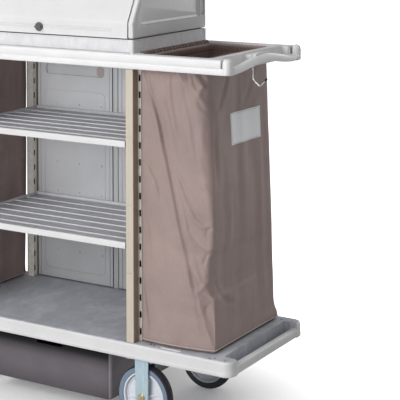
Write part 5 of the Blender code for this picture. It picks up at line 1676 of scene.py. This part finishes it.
# ============================================================ floor and light
def floor_material():
    m, nt, bsdf = nodes_of("studio_floor")
    out = nt.nodes["Material Output"]
    bsdf.inputs["Base Color"].default_value = (0.86, 0.86, 0.87, 1)
    bsdf.inputs["Roughness"].default_value = 0.9
    bsdf.inputs["Specular IOR Level"].default_value = 0.0
    # what the cart sees of the floor is darker than what the camera sees
    dim = nt.nodes.new("ShaderNodeBsdfDiffuse")
    dim.inputs["Color"].default_value = (0.60, 0.60, 0.61, 1)
    # the sweep brightens to white away from the cart
    geo = nt.nodes.new("ShaderNodeNewGeometry")
    sc = nt.nodes.new("ShaderNodeVectorMath")
    sc.operation = 'MULTIPLY'
    sc.inputs[1].default_value = (0.80, 1.40, 1.0)
    nt.links.new(geo.outputs["Position"], sc.inputs[0])
    ln = nt.nodes.new("ShaderNodeVectorMath")
    ln.operation = 'LENGTH'
    nt.links.new(sc.outputs["Vector"], ln.inputs[0])
    far = nt.nodes.new("ShaderNodeMapRange")
    far.inputs["From Min"].default_value = 0.42
    far.inputs["From Max"].default_value = 0.95
    far.inputs["To Min"].default_value = 0.15
    far.inputs["To Max"].default_value = 1.0
    nt.links.new(ln.outputs["Value"], far.inputs["Value"])
    em = nt.nodes.new("ShaderNodeEmission")
    em.inputs["Color"].default_value = (1, 1, 1, 1)
    nt.links.new(far.outputs["Result"], em.inputs["Strength"])
    add = nt.nodes.new("ShaderNodeAddShader")
    lp = nt.nodes.new("ShaderNodeLightPath")
    mix = nt.nodes.new("ShaderNodeMixShader")
    nt.links.new(bsdf.outputs[0], add.inputs[0])
    nt.links.new(em.outputs[0], add.inputs[1])
    nt.links.new(lp.outputs["Is Camera Ray"], mix.inputs[0])
    nt.links.new(dim.outputs[0], mix.inputs[1])
    nt.links.new(add.outputs[0], mix.inputs[2])
    nt.links.new(mix.outputs[0], out.inputs["Surface"])
    return m


bm = bmesh.new()
bmesh.ops.create_grid(bm, x_segments=8, y_segments=8, size=40.0)
bmesh.ops.translate(bm, verts=bm.verts, vec=(0, 0, -0.0003))
floor = put("studio_floor", bm, floor_material(), None, None)

world = bpy.data.worlds.new("studio")
bpy.context.scene.world = world
world.use_nodes = True
wn = world.node_tree
bg = wn.nodes["Background"]
bg.inputs["Color"].default_value = (1, 1, 1, 1)
bg.inputs["Strength"].default_value = 0.34
lp = wn.nodes.new("ShaderNodeLightPath")
bg2 = wn.nodes.new("ShaderNodeBackground")
bg2.inputs["Color"].default_value = (1, 1, 1, 1)
bg2.inputs["Strength"].default_value = 1.0
mx = wn.nodes.new("ShaderNodeMixShader")
wn.links.new(lp.outputs["Is Camera Ray"], mx.inputs[0])
wn.links.new(bg.outputs[0], mx.inputs[1])
wn.links.new(bg2.outputs[0], mx.inputs[2])
wn.links.new(mx.outputs[0], wn.nodes["World Output"].inputs["Surface"])


def area(name, direction, dist, size, power, color=(1, 1, 1)):
    d = Vector(direction).normalized()
    data = bpy.data.lights.new(name, 'AREA')
    data.shape = 'DISK'
    data.size = size
    data.energy = power
    data.color = color
    ob = bpy.data.objects.new(name, data)
    COL.objects.link(ob)
    ob.location = Vector((0, 0, 0.7)) + d * dist
    ob.rotation_mode = 'QUATERNION'
    ob.rotation_quaternion = d.to_track_quat('Z', 'Y')
    return ob


area("key", (-0.30, -0.80, 0.52), 6.0, 3.0, 138.0)
area("fill_right", (0.95, 0.10, 0.20), 6.0, 4.0, 7.5)
area("fill_top", (0.45, -0.25, 0.85), 6.0, 3.5, 30.0)
area("fill_back", (0.10, 0.95, 0.16), 6.0, 4.0, 120.0)
area("fill_front", (-0.02, -1.0, 0.16), 3.60, 1.6, 54.0)

# =================================================================== camera
cam_data = bpy.data.cameras.new("camera")
cam = bpy.data.objects.new("camera", cam_data)
COL.objects.link(cam)
cam_data.sensor_width = 36.0
cam_data.lens = 120.03
cam_data.clip_start, cam_data.clip_end = 0.1, 200.0
CX = 2.60075
cam.rotation_mode = 'QUATERNION'
cam.location = (CX, -3.53286, 1.58897)
rot = (Matrix.Rotation(0.5438, 4, 'Z') @ Matrix.Rotation(math.radians(90), 4, 'X')
       @ Matrix.Rotation(-0.0042, 4, 'Z'))
cam.rotation_quaternion = rot.to_quaternion()
cam_data.shift_y = -0.7547
drv = cam_data.driver_add("shift_y").driver
var = drv.variables.new()
var.name = "x"
var.type = 'TRANSFORMS'
var.targets[0].id = cam
var.targets[0].transform_type = 'LOC_X'
var.targets[0].transform_space = 'WORLD_SPACE'
drv.type = 'SCRIPTED'
drv.expression = "-0.7547 * (abs(x - %.5f) < 0.001)" % CX
bpy.context.scene.camera = cam
bpy.context.scene.view_settings.view_transform = 'Standard'
bpy.context.scene.view_settings.look = 'None'
